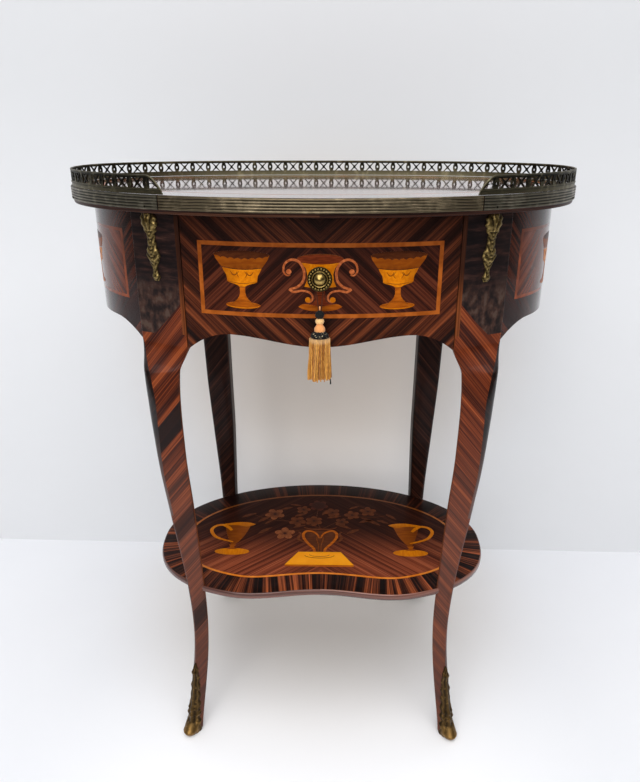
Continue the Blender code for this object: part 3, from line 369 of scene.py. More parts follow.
class InlaySheet:
    # collects marquetry shapes that lie on one surface and share one wood

    def __init__(self, place, fine=0.006):
        self.place, self.fine = place, fine
        self.points, self.faces, self.tone = [], [], []

    def lay(self, flat, triangles, rim, lift, tone):
        first = len(self.points)
        for depth in (lift, -0.0003):
            for x, y in flat:
                self.points.append(self.place(x, y, depth))
                self.tone.append(tone(x, y) if callable(tone) else tone)
        under = first + len(flat)
        for a, b, c in triangles:
            self.faces += [(first + a, first + b, first + c), (under + c, under + b, under + a)]
        for a, b in rim:
            self.faces.append((first + a, under + a, under + b, first + b))

    def add(self, outline, lift=0.00015, tone=0.0):
        xs, ys = zip(*outline)
        flat = [Vector(p) for p in outline]
        count = len(flat)
        for i in range(1, int((max(xs) - min(xs)) / self.fine) + 1):
            for j in range(1, int((max(ys) - min(ys)) / self.fine) + 1):
                flat.append(Vector((min(xs) + i * self.fine, min(ys) + j * self.fine)))
        edges = [(i, (i + 1) % count) for i in range(count)]
        made = geometry.delaunay_2d_cdt(flat, edges, [], 1, 1e-7)
        used = sorted({k for tri in made[2] for k in tri})
        place = {k: i for i, k in enumerate(used)}
        triangles = [[place[k] for k in tri] for tri in made[2]]
        self.lay([tuple(made[0][k]) for k in used], triangles, openSides(triangles), lift, tone)

    def stroke(self, path, widths, lift=0.00022, tone=0.0, steps=6):
        # a ribbon along a line, as wide as widths says from start to end
        line = smoothLine(path, steps)
        left, right = [], []
        for i, point in enumerate(line):
            before, after = Vector(line[max(i - 1, 0)]), Vector(line[min(i + 1, len(line) - 1)])
            run = (after - before).normalized()
            share = i / (len(line) - 1) * (len(widths) - 1)
            k = min(int(share), len(widths) - 2)
            half = (widths[k] + (widths[k + 1] - widths[k]) * (share - k)) / 2
            left.append((point[0] - run.y * half, point[1] + run.x * half))
            right.append((point[0] + run.y * half, point[1] - run.x * half))
        flat = left + right
        n = len(line)
        triangles, rim = [], [(0, n), (n - 1, 2 * n - 1)]
        for i in range(n - 1):
            triangles += [(i, n + i, n + i + 1), (i, n + i + 1, i + 1)]
            rim += [(i, i + 1), (n + i, n + i + 1)]
        self.lay(flat, triangles, rim, lift, tone)

    def finish(self, name, wood, body):
        return makePiece(name, self.points, self.faces, wood, body, marks={"tone": self.tone})


# the top's outline on the right half, from the front centre to the back centre
topForm = {"halfWidth": 0.303, "frontBow": 0.19, "backBow": 0.135, "frontPower": 2.0, "backPower": 2.4,
    "height": 0.721, "underside": 0.702}
widestY = (topForm["frontBow"] - topForm["backBow"]) / 2
carcaseTop = topForm["underside"] - 0.0003


def rimShape(y):
    side = "front" if y < widestY else "back"
    return topForm[side + "Bow"], topForm[side + "Power"]


def rimNormal(point):
    bow, power = rimShape(point.y)
    across = (point.x / topForm["halfWidth"]) ** (power - 1) / topForm["halfWidth"]
    reach = (abs(point.y - widestY) / bow) ** (power - 1) / bow
    return Vector((across, copysign(reach, point.y - widestY))).normalized()


rim, rimLengths = [], [0.0]
for index in range(721):
    turn = -pi / 2 + pi * index / 720
    bow, power = rimShape(widestY + sin(turn))
    x = topForm["halfWidth"] * max(cos(turn), 0.0) ** (2 / power)
    rim.append(Vector((x, widestY + copysign(bow * abs(sin(turn)) ** (2 / power), sin(turn)))))
    if index:
        rimLengths.append(rimLengths[-1] + (rim[-1] - rim[-2]).length)
rimHalf = rimLengths[-1]


def rimPoint(distance, inset):
    side = 1.0 if distance >= 0 else -1.0
    reach = abs(distance)
    if reach > rimHalf:
        reach, side = 2 * rimHalf - reach, -side
    i = min(max(bisect_left(rimLengths, reach), 1), len(rim) - 1)
    share = (reach - rimLengths[i - 1]) / (rimLengths[i] - rimLengths[i - 1])
    point = rim[i - 1].lerp(rim[i], share)
    point = point - rimNormal(point) * inset
    return Vector((side * point.x, point.y))


def rimDistance(x, inset, behind=False):
    widest = max(range(len(rim)), key=lambda i: rim[i].x)
    passed = rimLengths[widest]
    for i in range(widest, len(rim)) if behind else range(widest, -1, -1):
        reach = rimPoint(rimLengths[i], inset).x
        if reach <= x:
            before = rimPoint(passed, inset).x
            share = (before - x) / (before - reach) if before > x else 1.0
            return passed + (rimLengths[i] - passed) * share
        passed = rimLengths[i]
    return passed


def spread(start, end, count):
    return [start + (end - start) * i / count for i in range(count + 1)]


def sweepPoints(distances, section):
    points = []
    for distance in distances:
        for inset, height in section(distance):
            p = rimPoint(distance, inset)
            points.append((p.x, p.y, height))
    return points


print("outline ready, half rim", round(rimHalf, 4))

# finishes that several pieces share
rosewoodTones = tints((27, 11, 7), (52, 23, 13), (82, 38, 20), (124, 63, 34))
redTones = tints((48, 19, 11), (82, 36, 20), (114, 53, 29), (150, 78, 45))
# near-black tones for faces that lie in shade: painted shade
innerShadeTones = tints((18, 10, 8), (30, 15, 11), (46, 24, 17), (74, 40, 27))
bandBrass = brass("bandBrass", tint(30, 29, 25), tint(150, 142, 122), roughness=0.34, grime=(0.45, 0.75),
    patch=90.0, relief=0.02)
frontBrass = brass("frontBrass", tint(36, 32, 25), tint(156, 140, 112), roughness=0.3, grime=(0.45, 0.75),
    patch=90.0, relief=0.02)
galleryBrass = brass("galleryBrass", tint(26, 25, 22), tint(140, 131, 102), roughness=0.38,
    grime=(0.5, 0.75), patch=120.0, relief=0.03)
mountBrass = brass("mountBrass", tint(48, 39, 25), tint(194, 166, 104), roughness=0.34, grime=(0.46, 0.7),
    patch=420.0, relief=0.04)
shoeBrass = brass("shoeBrass", tint(46, 37, 26), tint(168, 130, 74), roughness=0.4, grime=(0.5, 0.75),
    patch=240.0, relief=0.03)
stringWood = inlayWood("stringWood", tint(170, 90, 32), tint(140, 70, 20), tint(88, 40, 14),
    scale=(90, 90, 90))
goldWood = inlayWood("goldWood", tint(212, 126, 10), tint(194, 106, 5), tint(112, 52, 6),
    scale=(300, 60, 300))
amberWood = inlayWood("amberWood", tint(180, 94, 16), tint(150, 72, 9), tint(84, 38, 8),
    scale=(60, 300, 300))
copperWood = inlayWood("copperWood", tint(190, 106, 60), tint(158, 80, 40), tint(110, 50, 24),
    scale=(300, 300, 300))
brownWood = inlayWood("brownWood", tint(104, 52, 22), tint(80, 38, 16), tint(44, 20, 10),
    scale=(110, 400, 400))
peachWood = inlayWood("peachWood", tint(142, 80, 45), tint(112, 60, 32), tint(58, 28, 16),
    scale=(300, 300, 300))

# tassel: a loop of cord over the knob's neck, knot, pear head, collar and skirt
tassel = {"hinge": Vector((0, -0.14755, 0.64)), "lean": 6.5, "cord": 0.0014, "neck": 0.0042, "gap": 0.0003,
    "drop": 0.034, "knot": 0.0085, "head": 0.015, "collar": 0.0052, "skirt": 0.0445, "radius": 0.0104,
    "strands": 36, "seed": 7}
hangDown = Vector((0, -sin(radians(tassel["lean"])), -cos(radians(tassel["lean"]))))


def loopRoute():
    # up one side, round the neck, down the other side to the knot
    roundNeck = tassel["neck"] + tassel["gap"] + tassel["cord"] / 2
    foot = tassel["drop"] - tassel["gap"]
    apart = tassel["cord"] * 0.9
    touch = pi / 2 - acos((roundNeck - apart) / foot)
    flat = []
    for i in range(8):
        flat.append((apart + (roundNeck * cos(touch) - apart) * i / 8,
            foot + (roundNeck * sin(touch) - foot) * i / 8))
    back = [(-x, depth) for x, depth in reversed(flat)]
    for i in range(13):
        turn = touch - (pi + 2 * touch) * i / 12
        flat.append((roundNeck * cos(turn), roundNeck * sin(turn)))
    return [tassel["hinge"] + Vector((x, 0, 0)) + hangDown * depth for x, depth in flat + back]


cordSilk = silk("cordSilk", tint(84, 40, 20), tint(46, 20, 12), scale=(1500, 1500, 1500), gloss=0.05)
goldSilk = silk("goldSilk", tint(232, 170, 80), tint(130, 72, 22), scale=(1600, 1600, 160))
peachSilk = silk("peachSilk", tint(232, 164, 104), tint(206, 122, 62), scale=(1400, 1400, 300))
creamSilk = silk("creamSilk", tint(236, 194, 136), tint(208, 150, 82), scale=(1400, 1400, 500))
darkSilk = silk("darkSilk", tint(30, 30, 30), tint(9, 9, 10), scale=(1100, 1100, 1100), gloss=0.08)
shadedCoreSilk = silk("shadedCoreSilk", tint(126, 78, 32), tint(72, 40, 15), scale=(1600, 1600, 160), gloss=0.05)
braidSilk = silk("braidSilk", tint(30, 30, 30), tint(9, 9, 10), scale=(1100, 1100, 1100), gloss=0.08)


def stitched(tree, base):
    # pale stitches in the dark braid
    spots = cloud(tree, objectSpace(tree), (620, 620, 620), 1.0)
    return blendColour(tree, step(tree, spots, 0.66, 0.69), base, tint(206, 188, 152))


overlay(braidSilk, stitched)


def polyLine(name, points):
    line = bpy.data.curves.new(name, "CURVE")
    line.dimensions = "3D"
    spline = line.splines.new("POLY")
    spline.points.add(len(points) - 1)
    for mark, point in zip(spline.points, points):
        mark.co = (*point, 1)
    return line


route = loopRoute()
loopLine = polyLine("tassel_loop", route)
loopLine.bevel_depth = tassel["cord"] / 2
loopLine.bevel_resolution = 4
loopLine.use_fill_caps = True
loopLine.materials.append(cordSilk)
loop = addObject("tassel_loop", loopLine)
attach(loop, "tassel")
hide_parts("tassel_cord")


def hangPiece(name, start, profile, sides, finish, nodes=(), ripple=None, tone=None):
    points, faces = lathe(profile, sides, tassel["hinge"] + hangDown * start, hangDown, ripple)
    marks = {"tone": [tone(i // sides, 2 * pi * (i % sides) / sides) if tone else 0.0
        for i in range(len(points))]}
    return makePiece(name, points, faces, finish, "tassel", nodes, marks=marks, crease=60)


def bulge(length, knots, steps=26):
    # a smooth profile through (share of length, radius)
    return [(x * length, r) for x, r in smoothLine(knots, steps // max(len(knots) - 1, 1) + 1)]


hang = tassel["drop"]
knot = hangPiece("tassel_turban", hang,
    bulge(tassel["knot"], [(0, 0.0016), (0.18, 0.0034), (0.45, 0.0046), (0.75, 0.0043), (1, 0.0026)]), 40,
    darkSilk, ["tassel_knot"], lambda row, turn: 1 + 0.1 * sin(5 * turn + row * 0.55))
hang += tassel["knot"] + tassel["gap"]
head = hangPiece("tassel_pear", hang, bulge(tassel["head"],
    [(0, 0.0031), (0.1, 0.004), (0.24, 0.0042), (0.36, 0.0033), (0.46, 0.0036), (0.62, 0.0052),
    (0.8, 0.0057), (1, 0.005)], 40), 48, peachSilk, ["tassel_head"],
    lambda row, turn: 1 + 0.025 * cos(24 * turn))
cap = hangPiece("tassel_cap", hang - 0.0001,
    bulge(0.0052, [(0, 0.0033), (0.25, 0.0043), (0.65, 0.0045), (1, 0.0036)]), 40, creamSilk,
    (), lambda row, turn: 1 + 0.05 * sin(9 * turn + row * 0.5))
hang += tassel["head"] + tassel["gap"]
collar = hangPiece("tassel_braid", hang - 0.002,
    bulge(tassel["collar"] + 0.002, [(0, 0.0052), (0.25, 0.0078), (0.6, 0.0092), (0.9, 0.0086),
    (1, 0.007)]), 72, braidSilk, ["tassel_collar"],
    lambda row, turn: 1 + 0.06 * sin(11 * turn + row * 0.35))
hang += tassel["collar"] + tassel["gap"]


def inputsOf(tree):
    return {item.name: item.identifier for item in tree.interface.items_tree if item.in_out == "INPUT"}


def startTree(name, wanted):
    # a node tree with named inputs and one mesh output
    tree = bpy.data.node_groups.new(name, "GeometryNodeTree")
    tree.interface.new_socket("Geometry", in_out="INPUT", socket_type="NodeSocketGeometry")
    tree.interface.new_socket("Geometry", in_out="OUTPUT", socket_type="NodeSocketGeometry")
    for label, kind in wanted.items():
        tree.interface.new_socket(label, in_out="INPUT", socket_type="NodeSocket" + kind)
    return tree, tree.nodes.new("NodeGroupInput").outputs, tree.nodes.new("NodeGroupOutput").inputs


def growMesh(name, tree, values):
    # runs the tree once and keeps its result as a plain mesh
    host = addObject(name, bpy.data.meshes.new(name + "Seed"))
    run = host.modifiers.new("grow", "NODES")
    run.node_group = tree
    sockets = inputsOf(tree)
    for label, value in values.items():
        run[sockets[label]] = value
    host.update_tag()
    bpy.context.view_layer.update()
    mesh = bpy.data.meshes.new_from_object(host.evaluated_get(bpy.context.evaluated_depsgraph_get()))
    host.modifiers.remove(run)
    bpy.data.objects.remove(host)
    mesh.name = name
    mesh.materials.clear()
    return mesh


def pattern(name, points, faces):
    # a small shape that a tree repeats; it is taken away once the tree has run
    mesh = bpy.data.meshes.new(name)
    mesh.from_pydata(points, [], faces)
    return addObject(name, mesh)


def strandTree():
    tree, given, made = startTree("skirtStrands",
        {"Strand": "Object", "Count": "Int", "Radius": "Float", "Rings": "Int", "Flare": "Float",
        "Length": "Float", "Seed": "Int", "Finish": "Material"})
    ring = put(tree, "GeometryNodeCurvePrimitiveCircle", {"Resolution": 48, "Radius": given["Radius"]})
    dots = put(tree, "GeometryNodeCurveToPoints", {0: ring, "Count": given["Count"]}, mode="COUNT")
    row = put(tree, "GeometryNodeMeshLine", {"Count": given["Rings"], "Offset": (0, 0, 0)})
    rings = put(tree, "GeometryNodeInstanceOnPoints", {"Points": row, "Instance": dots})
    # each ring sits a little inside the last and is turned against it
    order = put(tree, "GeometryNodeInputIndex").outputs[0]
    shrink = maths(tree, "SUBTRACT", 1.0, times(tree, order, 0.11))
    flat = put(tree, "GeometryNodeScaleInstances",
        {0: rings, "Scale": put(tree, "ShaderNodeCombineXYZ", {0: shrink, 1: shrink, 2: 1.0})})
    twist = put(tree, "ShaderNodeCombineXYZ", {2: times(tree, order, 0.37)}).outputs[0]
    turnedRings = put(tree, "GeometryNodeRotateInstances", {0: flat, "Rotation": twist})
    spots = put(tree, "GeometryNodeRealizeInstances", {0: turnedRings})
    strand = put(tree, "GeometryNodeObjectInfo", {0: given["Strand"]})
    turned = put(tree, "FunctionNodeRandomValue", {0: (0, 0, 0), 1: (0, 0, 6.28), "Seed": given["Seed"]},
        data_type="FLOAT_VECTOR")
    cut = put(tree, "FunctionNodeRandomValue",
        {0: (0.85, 0.85, 0.94), 1: (1.2, 1.2, 1.02), "Seed": given["Seed"]}, data_type="FLOAT_VECTOR")
    hung = put(tree, "GeometryNodeInstanceOnPoints",
        {"Points": spots, "Instance": strand.outputs["Geometry"], "Rotation": turned, "Scale": cut})
    shade = put(tree, "FunctionNodeRandomValue", {2: 0.0, 3: 1.0, "Seed": given["Seed"]}, data_type="FLOAT")
    named = put(tree, "GeometryNodeStoreNamedAttribute",
        {0: hung, "Name": "tone", "Value": shade.outputs[1]}, data_type="FLOAT", domain="INSTANCE")
    real = put(tree, "GeometryNodeRealizeInstances", {0: named})
    # the skirt opens towards its hem
    at = put(tree, "ShaderNodeSeparateXYZ", {0: put(tree, "GeometryNodeInputPosition").outputs[0]}).outputs
    opening = maths(tree, "ADD", 1.0, times(tree, maths(tree, "DIVIDE", at[2], given["Length"]),
        times(tree, given["Flare"], -1.0)))
    moved = put(tree, "ShaderNodeCombineXYZ",
        {0: times(tree, at[0], opening), 1: times(tree, at[1], opening), 2: at[2]})
    flared = put(tree, "GeometryNodeSetPosition", {0: real, "Position": moved})
    done = put(tree, "GeometryNodeSetMaterial", {0: flared, "Material": given["Finish"]})
    tree.links.new(done.outputs[0], made[0])
    return tree


def strandShape():
    points, rows, sides = [], 9, 5
    for row in range(rows):
        share = row / (rows - 1)
        thick = 0.00084 * (1 - 0.25 * share)
        for i in range(sides):
            turn = 2 * pi * i / sides
            points.append((0.0005 * sin(share * 6.0) + thick * cos(turn),
                0.0004 * sin(share * 4.1 + 1) - 0.0003 + thick * sin(turn), -tassel["skirt"] * share))
    faces = ringFaces(rows, sides)
    faces.append(tuple(range((rows - 1) * sides, rows * sides)))
    return points, [face[::-1] for face in faces] + [tuple(range(sides))]


strand = pattern("strandShape", *strandShape())
skirtMesh = growMesh("tassel_strands", strandTree(),
    {"Strand": strand, "Count": tassel["strands"], "Radius": tassel["radius"], "Rings": 3,
    "Flare": 0.13, "Length": tassel["skirt"], "Seed": tassel["seed"], "Finish": goldSilk})
bpy.data.objects.remove(strand)
upright = Matrix((Vector((1, 0, 0)), -hangDown.cross(Vector((1, 0, 0))), -hangDown)).transposed().to_4x4()
skirtMesh.transform(Matrix.Translation(tassel["hinge"] + hangDown * hang) @ upright)
settle("tassel_strands", skirtMesh, goldSilk, "tassel", ["tassel_skirt"], 60)
# the core stands for the inner strands; its darker silk, at full tone, is painted shade
hangPiece("tassel_core", hang + 0.0004,
    bulge(0.0415, [(0, 0.0084), (0.2, 0.0086), (0.6, 0.009), (1, 0.0092)]), 40, shadedCoreSilk, (),
    lambda row, turn: 1 + 0.05 * cos(20 * turn), lambda row, turn: 1.0)
skirtTop = (tassel["hinge"] + hangDown * hang).z
# the strands are paler where they leave the braid
overlay(goldSilk, lambda tree, base: fade(tree, heightIn(tree), skirtTop - 0.005, skirtTop - 0.001, 0.25,
    base, tint(246, 222, 176)))
hangPiece("tassel_whip", tassel["drop"] - 0.0046, mm((0, 0.4), (0.4, 0.8), (4.2, 0.8), (4.6, 0.4)), 20,
    peachSilk)


def thread(name, sideways, forward, reach):
    # one dark thread that hangs a little below the skirt
    beside = hangDown.cross(Vector((1, 0, 0)))
    rows, sides, points = 12, 6, []
    for row in range(rows):
        share = row / (rows - 1)
        middle = (tassel["hinge"] + Vector((1, 0, 0)) * sideways * (0.8 + 0.22 * share)
            + hangDown * (hang - 0.002 + reach * share) + beside * forward * (0.86 + 0.2 * share))
        radius = 0.00055 + 0.0003 * (share > 0.97)
        for i in range(sides):
            turn = 2 * pi * i / sides
            points.append(middle + (Vector((1, 0, 0)) * cos(turn) + beside * sin(turn)) * radius)
    faces = tubeFaces(rows, sides)
    return makePiece(name, points, faces, darkSilk, "tassel",
        marks={"tone": [0.5] * len(points)}, crease=60)


thread("tassel_thread_left", -0.0045, -0.0108, 0.049)
thread("tassel_thread_right", 0.0116, -0.003, 0.053)

# top board: crossbanded edge, one string and four matched quarters
topBoard = {"band": 0.034, "string": 0.0026, "grain": 43.0}
crossVeneer = veneer("crossVeneer", tints((32, 16, 13), (60, 28, 20), (112, 54, 32), (168, 92, 54)),
    seed=2.3, bands=70.0, streaks=0.85, rare=0.56, lacquer=1.0, rough=0.08, shine=0.5)
fieldVeneer = veneer("fieldVeneer", redTones, seed=5.1, bands=95.0, streaks=0.25, rare=0.56, lacquer=1.0,
    rough=0.08, shine=0.5)
edgeVeneer = veneer("edgeVeneer", tints((26, 13, 10), (46, 24, 17), (70, 40, 27), (98, 62, 42)), seed=8.7,
    bands=160.0, streaks=0.3, rare=0.56, lacquer=0.06, rough=0.3, shine=0.08)
wideDistance = rimLengths[max(range(len(rim)), key=lambda i: rim[i].x)]


def slant(along, up, degrees):
    # grain map of a veneer whose figure falls away from the middle at an angle
    s, c = sin(radians(degrees)), cos(radians(degrees))
    return along * s + up * c, along * c - up * s


def makeTop():
    stations = spread(0, wideDistance, 60) + spread(wideDistance, rimHalf, 48)[1:]
    stations += [2 * rimHalf - d for d in reversed(stations[1:-1])]
    inner = topBoard["band"] + topBoard["string"]
    rows = [(0.0016, 0.702), (0.0004, 0.7024), (0, 0.7034), (0, 0.7204), (0.0006, 0.721),
        (topBoard["band"], 0.721), (inner, 0.721)]
    count = len(stations)
    points = []
    for inset, height in rows:
        for d in stations:
            p = rimPoint(d, inset)
            points.append((p.x, p.y, height))
    around = stations + [2 * rimHalf]

    def uvAt(row, i):
        inset, height = rows[row]
        return (around[i], inset) if row >= 4 else (height + inset, around[i])

    faces, grain = [], []
    for row in range(len(rows) - 1):
        for i in range(count):
            j = (i + 1) % count
            faces.append((row * count + i, row * count + j, (row + 1) * count + j, (row + 1) * count + i))
            spots = ((row, i), (row, i + 1), (row + 1, i + 1), (row + 1, i))
            if row == 3:
                grain.append([(rows[r][1], around[k]) for r, k in spots])
            elif row == 5:
                grain.append([(rows[r][0], around[k]) for r, k in spots])
            else:
                grain.append([uvAt(r, k) for r, k in spots])
    finishOf = [0] * (4 * count) + [1] * count + [2] * count
    last = (len(rows) - 1) * count
    centre = len(points)
    points.append((0, widestY, topForm["height"]))
    right, half = 60, count // 2
    for first, end in ((0, right), (right, half), (half, count - right), (count - right, count)):
        ring = [last + k % count for k in range(first, end + 1)] + [centre]
        faces.append(tuple(ring))
        grain.append([slant(abs(points[k][0]), abs(points[k][1] - widestY) + 0.4, topBoard["grain"])
            for k in ring])
        finishOf.append(3)
    faces.append(tuple(range(count)))
    grain.append([(points[k][1], points[k][0]) for k in range(count)])
    finishOf.append(0)
    makePiece("top_veneered", points, faces, [edgeVeneer, crossVeneer, stringWood, fieldVeneer], "carcase",
        ["top_board"], grain, {"tone": [0.15] * len(points)}, finishOf)


makeTop()
print("top laid")

# ridged brass band, in a front stretch and one round the sides and back
band = {"height": 0.0148, "ridges": 5, "ridge": 0.0009, "thick": 0.0018, "gap": 0.0003, "seamX": 0.165,
    "steps": 5}


def bandSection():
    face = -band["gap"] - band["thick"] + band["ridge"]
    pitch = band["height"] / band["ridges"]
    points = [(-band["gap"], topForm["height"]), (-band["gap"], topForm["height"] - band["height"])]
    wear = [0.1, 0.0]
    for ridge in range(band["ridges"]):
        for i in range(band["steps"]):
            share = i / band["steps"]
            swell = sin(pi * share) ** 0.75
            points.append((face - band["ridge"] * swell,
                topForm["height"] - band["height"] + (ridge + share) * pitch))
            wear.append(swell ** 3)
    points.append((face, topForm["height"]))
    return points, wear + [0.3]


def makeBand(name, start, end, finish, node):
    section, wear = bandSection()
    distances = spread(start, end, int((end - start) / 0.005))
    points = sweepPoints(distances, lambda d: section)
    faces = tubeFaces(len(distances), len(section))
    return makePiece(name, points, faces, finish, "carcase", [node],
        marks={"wear": wear * len(distances)}, crease=50)


seam = rimDistance(band["seamX"], 0)
makeBand("band_front", -seam + 0.0007, seam - 0.0007, frontBrass, "edge_band_front")
makeBand("band_round", seam + 0.0007, 2 * rimHalf - seam - 0.0007, bandBrass, "edge_band_back")


def plant(tree, made, dots, shape, finish):
    # the shape on every dot, made real and given its finish
    placed = put(tree, "GeometryNodeInstanceOnPoints", {"Points": dots, "Instance": shape})
    real = put(tree, "GeometryNodeRealizeInstances", {0: placed})
    done = put(tree, "GeometryNodeSetMaterial", {0: real, "Material": finish})
    tree.links.new(done.outputs[0], made[0])


def pinTree():
    tree, given, made = startTree("bandPins", {"Line": "Object", "Pin": "Object", "Finish": "Material"})
    line = put(tree, "GeometryNodeObjectInfo", {0: given["Line"]})
    pin = put(tree, "GeometryNodeObjectInfo", {0: given["Pin"]})
    dots = put(tree, "GeometryNodeMeshToPoints", {0: line.outputs["Geometry"]})
    plant(tree, made, dots.outputs[0], pin.outputs["Geometry"], given["Finish"])
    return tree


def ballShape(radius, rows=4, sides=10):
    # a ball of few faces
    points = [(0, 0, radius)]
    for row in range(1, rows):
        fall = pi * row / rows
        points += [(radius * sin(fall) * cos(2 * pi * i / sides),
            radius * sin(fall) * sin(2 * pi * i / sides), radius * cos(fall)) for i in range(sides)]
    points.append((0, 0, -radius))
    faces = [(0, 1 + i, 1 + (i + 1) % sides) for i in range(sides)]
    for row in range(rows - 2):
        for i in range(sides):
            a, b = 1 + row * sides, 1 + (row + 1) * sides
            faces.append((a + i, b + i, b + (i + 1) % sides, a + (i + 1) % sides))
    end, low = len(points) - 1, 1 + (rows - 2) * sides
    return points, faces + [(end, low + (i + 1) % sides, low + i) for i in range(sides)]


pinStops = [seam + 0.017, 2 * rimHalf - seam - 0.017]
pinStops += spread(seam + 0.16, 2 * rimHalf - seam - 0.16, 5)
pinSpots = []
for distance in pinStops:
    p = rimPoint(distance, -0.0019)
    pinSpots.append((p.x, p.y, topForm["height"] - 0.0118))
pinLine, pin = pattern("pinSpots", pinSpots, []), pattern("pinShape", *ballShape(0.0011))
pinMesh = growMesh("band_pins", pinTree(), {"Line": pinLine, "Pin": pin, "Finish": galleryBrass})
bpy.data.objects.remove(pinLine)
bpy.data.objects.remove(pin)
settle("band_pins", pinMesh, galleryBrass, "carcase", (), 60)
print("band nailed on")

# pierced gallery: one cell repeated along the rim, with a ramp at each end
gallery = {"foot": 0.0055, "open": 0.0108, "rail": 0.0026, "thick": 0.0016, "pitch": 0.0216, "endX": 0.16,
    "ramp": 0.02, "cut": 0.075}
galleryStart = rimDistance(gallery["endX"], 0)
galleryLength = 2 * (rimHalf - galleryStart)
galleryHeight = gallery["foot"] + gallery["open"] + gallery["rail"]
cellCount = round((galleryLength - 2 * gallery["ramp"]) / gallery["pitch"])
cellPitch = (galleryLength - 2 * gallery["ramp"]) / cellCount


def pierced(outline, holes):
    # a flat plate with holes, both faces and the walls of the holes and long edges
    flat, edges = [], []
    for ring in [outline] + holes:
        first = len(flat)
        flat += [Vector(p) for p in ring]
        edges += [(first + i, first + (i + 1) % len(ring)) for i in range(len(ring))]
    made = geometry.delaunay_2d_cdt(flat, edges, [], 0, 1e-7)
    spots = made[0]

    def inside(x, y, ring):
        hit = False
        for (x0, y0), (x1, y1) in zip(ring, ring[1:] + ring[:1]):
            if (y0 > y) != (y1 > y) and x < (x1 - x0) * (y - y0) / (y1 - y0) + x0:
                hit = not hit
        return hit

    kept = []
    for tri in made[2]:
        x, y = (sum(spots[k][axis] for k in tri) / 3 for axis in (0, 1))
        if inside(x, y, outline) and not any(inside(x, y, hole) for hole in holes):
            kept.append(tri)
    count = len(spots)
    points = [(p.x, sheet, p.y) for sheet in (0.0, gallery["thick"]) for p in spots]
    faces = kept + [tuple(count + k for k in reversed(tri)) for tri in kept]
    return points, faces, openSides(kept), spots, count


def plate(name, outline, holes, openEnds):
    points, faces, rimPairs, spots, count = pierced(outline, holes)
    for a, b in rimPairs:
        if any(abs(spots[a].x - x) < 1e-7 and abs(spots[b].x - x) < 1e-7 for x in openEnds):
            continue  # the next cell joins here
        faces.append((a, b, count + b, count + a))
    return pattern(name, points, faces)


def cellHoles(left):
    p, low, h = cellPitch, gallery["foot"], gallery["open"]

    def at(points):
        return [(left + x * p, low + y * h) for x, y in points]

    bracket = [(0.1, 0.96), (0.23, 0.96), (0.3, 0.84), (0.36, 0.7), (0.425, 0.56), (0.425, 0.44),
        (0.36, 0.3), (0.3, 0.16), (0.23, 0.04), (0.1, 0.04), (0.125, 0.2), (0.15, 0.36), (0.155, 0.5),
        (0.15, 0.64), (0.125, 0.8)]
    upper = [(0.32, 0.96), (0.68, 0.96), (0.61, 0.84), (0.55, 0.73), (0.5, 0.655), (0.45, 0.73),
        (0.39, 0.84)]
    return [at(bracket), at([(1 - x, y) for x, y in reversed(bracket)]), at(upper),
        at([(x, 1 - y) for x, y in reversed(upper)])]


def dot(x):
    return ellipse(x, gallery["foot"] + gallery["open"] / 2, 0.052 * cellPitch, 0.0016, 10)


def rampHeight(s):
    return 0.0008 + (galleryHeight - 0.0008) * sin(pi / 2 * min(max(s / gallery["ramp"], 0), 1)) ** 0.85


lead = gallery["cut"] * cellPitch
right = lead + cellPitch
cellEdge = [(lead + cellPitch * i / 6, 0.0) for i in range(7)]
cellEdge += [(lead + cellPitch * (6 - i) / 6, galleryHeight) for i in range(7)]
cell = plate("galleryCell", cellEdge, cellHoles(0.0) + [dot(cellPitch)], (lead, right))
joint = gallery["ramp"] + lead
startEdge = [(0, 0), (joint / 2, 0), (joint, 0), (joint, galleryHeight)]
startEdge += [(s, rampHeight(s)) for s in (gallery["ramp"] * (1 - i / 9) for i in range(10))]
rampHoles = [mm((3.6, 6), (11.2, 6), (11.2, 9.6), (8.4, 10.4), (5.6, 8.6)),
    mm((6.8, 11), (11.2, 10.6), (11.2, 15.6), (10.4, 15.2), (8.6, 13.4))]
rampHoles = [[(x * gallery["ramp"] / 0.014, z) for x, z in hole] for hole in rampHoles]
startPlate = plate("galleryStart", startEdge, rampHoles + [dot(gallery["ramp"])], (joint,))
endJoint = gallery["ramp"] + cellCount * cellPitch + lead
endEdge = [(endJoint, 0), (galleryLength, 0)]
endEdge += [(galleryLength - s, rampHeight(s)) for s in (gallery["ramp"] * i / 9 for i in range(9))]
endEdge.append((endJoint, galleryHeight))
endPlate = plate("galleryEnd", endEdge,
    [[(galleryLength - x, z) for x, z in reversed(hole)] for hole in rampHoles], (endJoint,))


